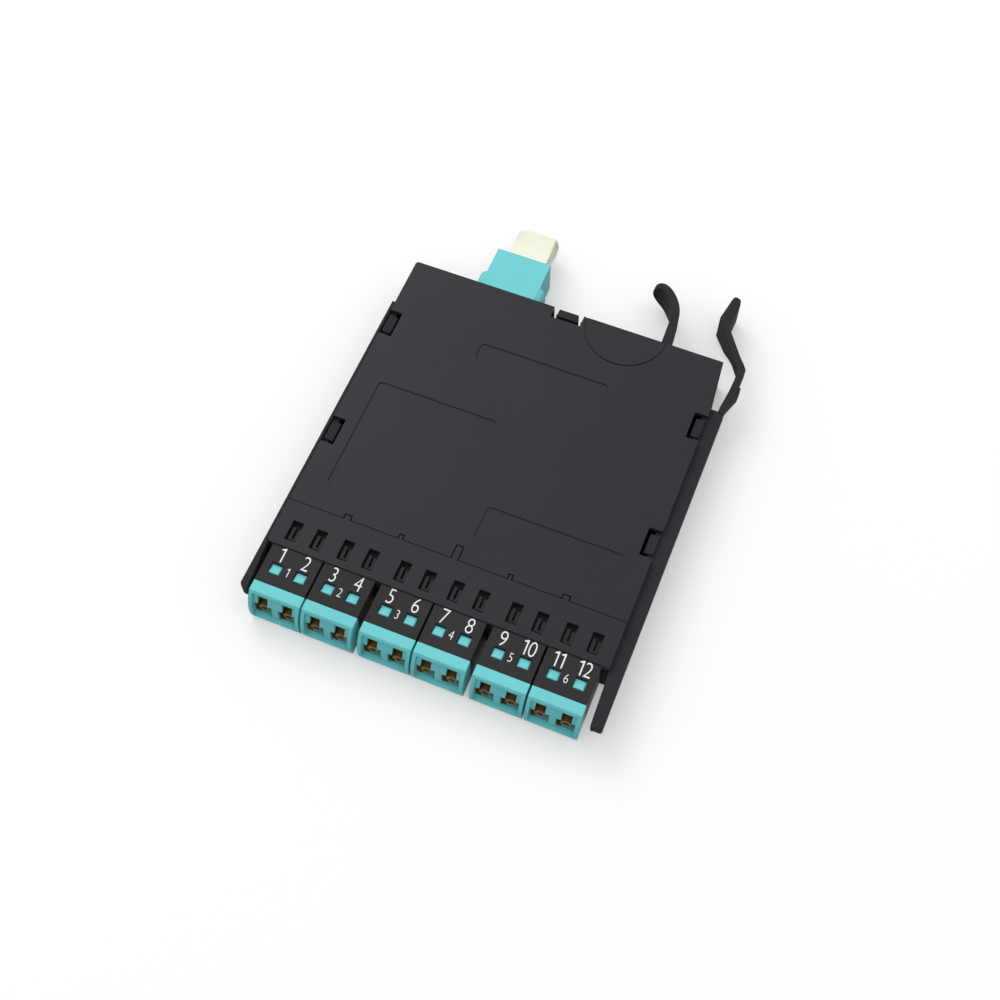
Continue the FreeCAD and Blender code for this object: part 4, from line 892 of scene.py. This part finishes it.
class CASSETTE_OT_numbers(bpy.types.Operator):
    """Print the port and adapter numbers on the number plates"""

    bl_idname = "cassette.numbers"
    bl_label = "Numbers"

    def execute(self, context):
        finish, sizes = context.scene.cassette_finish, context.scene.cassette_numbers
        ink = plastic("number_ink", finish.print, 0.5, grain_depth=0.001 * MM, edge=0.01 * MM, spread=0.02)
        front = housing_front()
        ports, bays = [], []
        for bay in range(BAYS):
            middle, top = plate_middle(bay)
            bays.append((str(bay + 1), sizes.bay_height, (middle, front - sizes.bay_place, top)))
            for side in range(PORTS_PER_BAY):
                across = middle + (side - 0.5) * AdapterSizes.pitch * MM
                ports.append((str(PORTS_PER_BAY * bay + side + 1), sizes.port_height,
                              (across, front - sizes.port_place, top)))
        for name, entries in (("port_numbers", ports), ("adapter_numbers", bays)):
            label_mesh(name, entries, sizes.ink, ink)
        return {"FINISHED"}


class CASSETTE_OT_stage(bpy.types.Operator):
    """Set the floor, light and camera"""

    bl_idname = "cassette.stage"
    bl_label = "Studio"

    def execute(self, context):
        studio = context.scene.cassette_studio
        reach, gap = 3.0, 0.02 * MM
        level = CAD_BOX[0][2] - gap
        corners = [(-reach, -reach, level), (reach, -reach, level), (reach, reach, level),
                   (-reach, reach, level)]
        mesh = bpy.data.meshes.new("floor")
        mesh.from_pydata(corners, [], [(0, 1, 2, 3)])
        mesh.materials.append(floor_material())
        floor = added("floor", mesh)
        lamp("main_lamp", (-0.9, 0.8, 1.2), (0, 0, 0), 1.0, studio.lamp_power)
        world = bpy.data.worlds.new("studio_world")
        world.use_nodes = True
        context.scene.world = world
        light_sky(world.node_tree, studio.fill)
        data = bpy.data.cameras.new("camera")
        data.sensor_width, data.lens = 36.0, studio.lens
        data.clip_start, data.clip_end = 0.01, 20
        camera = added("camera", data)
        camera.matrix_world = facing(studio.camera_place, studio.camera_target)
        context.scene.camera = camera
        context.scene.view_settings.view_transform = "Standard"
        return {"FINISHED"}


def facing(place, target):
    """Matrix of an object that stands at a place and looks at a target."""
    place = Vector(place)
    turn = (Vector(target) - place).to_track_quat("-Z", "Y").to_matrix().to_4x4()
    return Matrix.Translation(place) @ turn


def lamp(name, place, target, size, power):
    """Square soft lamp that faces its target."""
    data = bpy.data.lights.new(name, "AREA")
    data.size, data.energy = size, power
    added(name, data).matrix_world = facing(place, target)


def seen_directly(tree):
    """Factor that is 1 on rays from the camera, on glossy rays and on rays passed on by glass."""
    path = tree.nodes.new("ShaderNodeLightPath")
    total = path.outputs["Is Camera Ray"]
    for name in ("Is Glossy Ray", "Is Transmission Ray"):
        either = tree.nodes.new("ShaderNodeMath")
        either.operation = "MAXIMUM"
        tree.links.new(total, either.inputs[0])
        tree.links.new(path.outputs[name], either.inputs[1])
        total = either.outputs[0]
    return total


def light_sky(tree, strength):
    """Light that is stronger overhead, and plain white where the camera or a glossy ray looks at it.

    Over the whole sky the light on a level surface comes to the given strength.
    """
    sky = tree.nodes["Background"]
    sky.inputs["Color"].default_value = (1, 1, 1, 1)
    direction = tree.nodes.new("ShaderNodeTexCoord")
    parts = tree.nodes.new("ShaderNodeSeparateXYZ")
    level = tree.nodes.new("ShaderNodeMapRange")
    horizon_share = 0.3
    horizon = horizon_share * strength
    level.inputs["To Min"].default_value = horizon
    level.inputs["To Max"].default_value = horizon + 1.5 * (strength - horizon)
    tree.links.new(direction.outputs["Generated"], parts.inputs[0])
    tree.links.new(parts.outputs["Z"], level.inputs["Value"])
    tree.links.new(level.outputs["Result"], sky.inputs["Strength"])
    shown = tree.nodes.new("ShaderNodeBackground")
    shown.inputs["Color"].default_value = (1, 1, 1, 1)
    shown.inputs["Strength"].default_value = 1.0
    choice = tree.nodes.new("ShaderNodeMixShader")
    tree.links.new(seen_directly(tree), choice.inputs[0])
    tree.links.new(sky.outputs["Background"], choice.inputs[1])
    tree.links.new(shown.outputs["Background"], choice.inputs[2])
    tree.links.new(choice.outputs["Shader"], tree.nodes["World Output"].inputs["Surface"])


def floor_material():
    """Floor that shows white to the camera with a soft shadow, and throws only part of its light back up."""
    material = bpy.data.materials.new("floor_white")
    material.use_nodes = True
    tree = material.node_tree
    shader = tree.nodes["Principled BSDF"]
    shader.inputs["Base Color"].default_value = (0.72, 0.72, 0.72, 1)
    shader.inputs["Roughness"].default_value = 0.9
    lift = tree.nodes.new("ShaderNodeEmission")
    lift.inputs["Strength"].default_value = 0.28
    bounce = tree.nodes.new("ShaderNodeBsdfDiffuse")
    bounce.inputs["Color"].default_value = (0.3, 0.3, 0.3, 1)
    shown = tree.nodes.new("ShaderNodeMixShader")
    total = tree.nodes.new("ShaderNodeAddShader")
    tree.links.new(shader.outputs["BSDF"], total.inputs[0])
    tree.links.new(lift.outputs["Emission"], total.inputs[1])
    tree.links.new(seen_directly(tree), shown.inputs[0])
    tree.links.new(bounce.outputs["BSDF"], shown.inputs[1])
    tree.links.new(total.outputs["Shader"], shown.inputs[2])
    tree.links.new(shown.outputs["Shader"], tree.nodes["Material Output"].inputs["Surface"])
    return material


class CASSETTE_PT_panel(bpy.types.Panel):
    """Lists the cassette's steps"""

    bl_idname = "CASSETTE_PT_panel"
    bl_label = "Fibre Cassette"
    bl_space_type = "VIEW_3D"
    bl_region_type = "UI"
    bl_category = "Cassette"

    def draw(self, context):
        for step in STEPS:
            self.layout.operator(step.bl_idname)
        for group in GROUPS:
            settings = getattr(context.scene, group)
            for name in settings.bl_rna.properties.keys():
                if name not in ("rna_type", "name"):
                    self.layout.prop(settings, name)


GROUPS = {"cassette_finish": CassetteFinish, "cassette_numbers": CassetteNumbers,
          "cassette_studio": CassetteStudio}
STEPS = (CASSETTE_OT_housing_finish, CASSETTE_OT_adapter_finish, CASSETTE_OT_harness_finish,
         CASSETTE_OT_numbers, CASSETTE_OT_stage)
CLASSES = (*GROUPS.values(), *STEPS, CASSETTE_PT_panel)


def register():
    """Registers the classes and puts their settings on the scene."""
    for item in CLASSES:
        bpy.utils.register_class(item)
    for name, group in GROUPS.items():
        setattr(bpy.types.Scene, name, bpy.props.PointerProperty(type=group))


def unregister():
    """Takes the settings off the scene and unregisters the classes."""
    for name in GROUPS:
        delattr(bpy.types.Scene, name)
    for item in reversed(CLASSES):
        bpy.utils.unregister_class(item)


def main():
    """Runs every step in order."""
    register()
    bpy.ops.cassette.housing_finish()
    bpy.ops.cassette.adapter_finish()
    bpy.ops.cassette.harness_finish()
    bpy.ops.cassette.numbers()
    bpy.ops.cassette.stage()


if __name__ == "__main__":
    main()
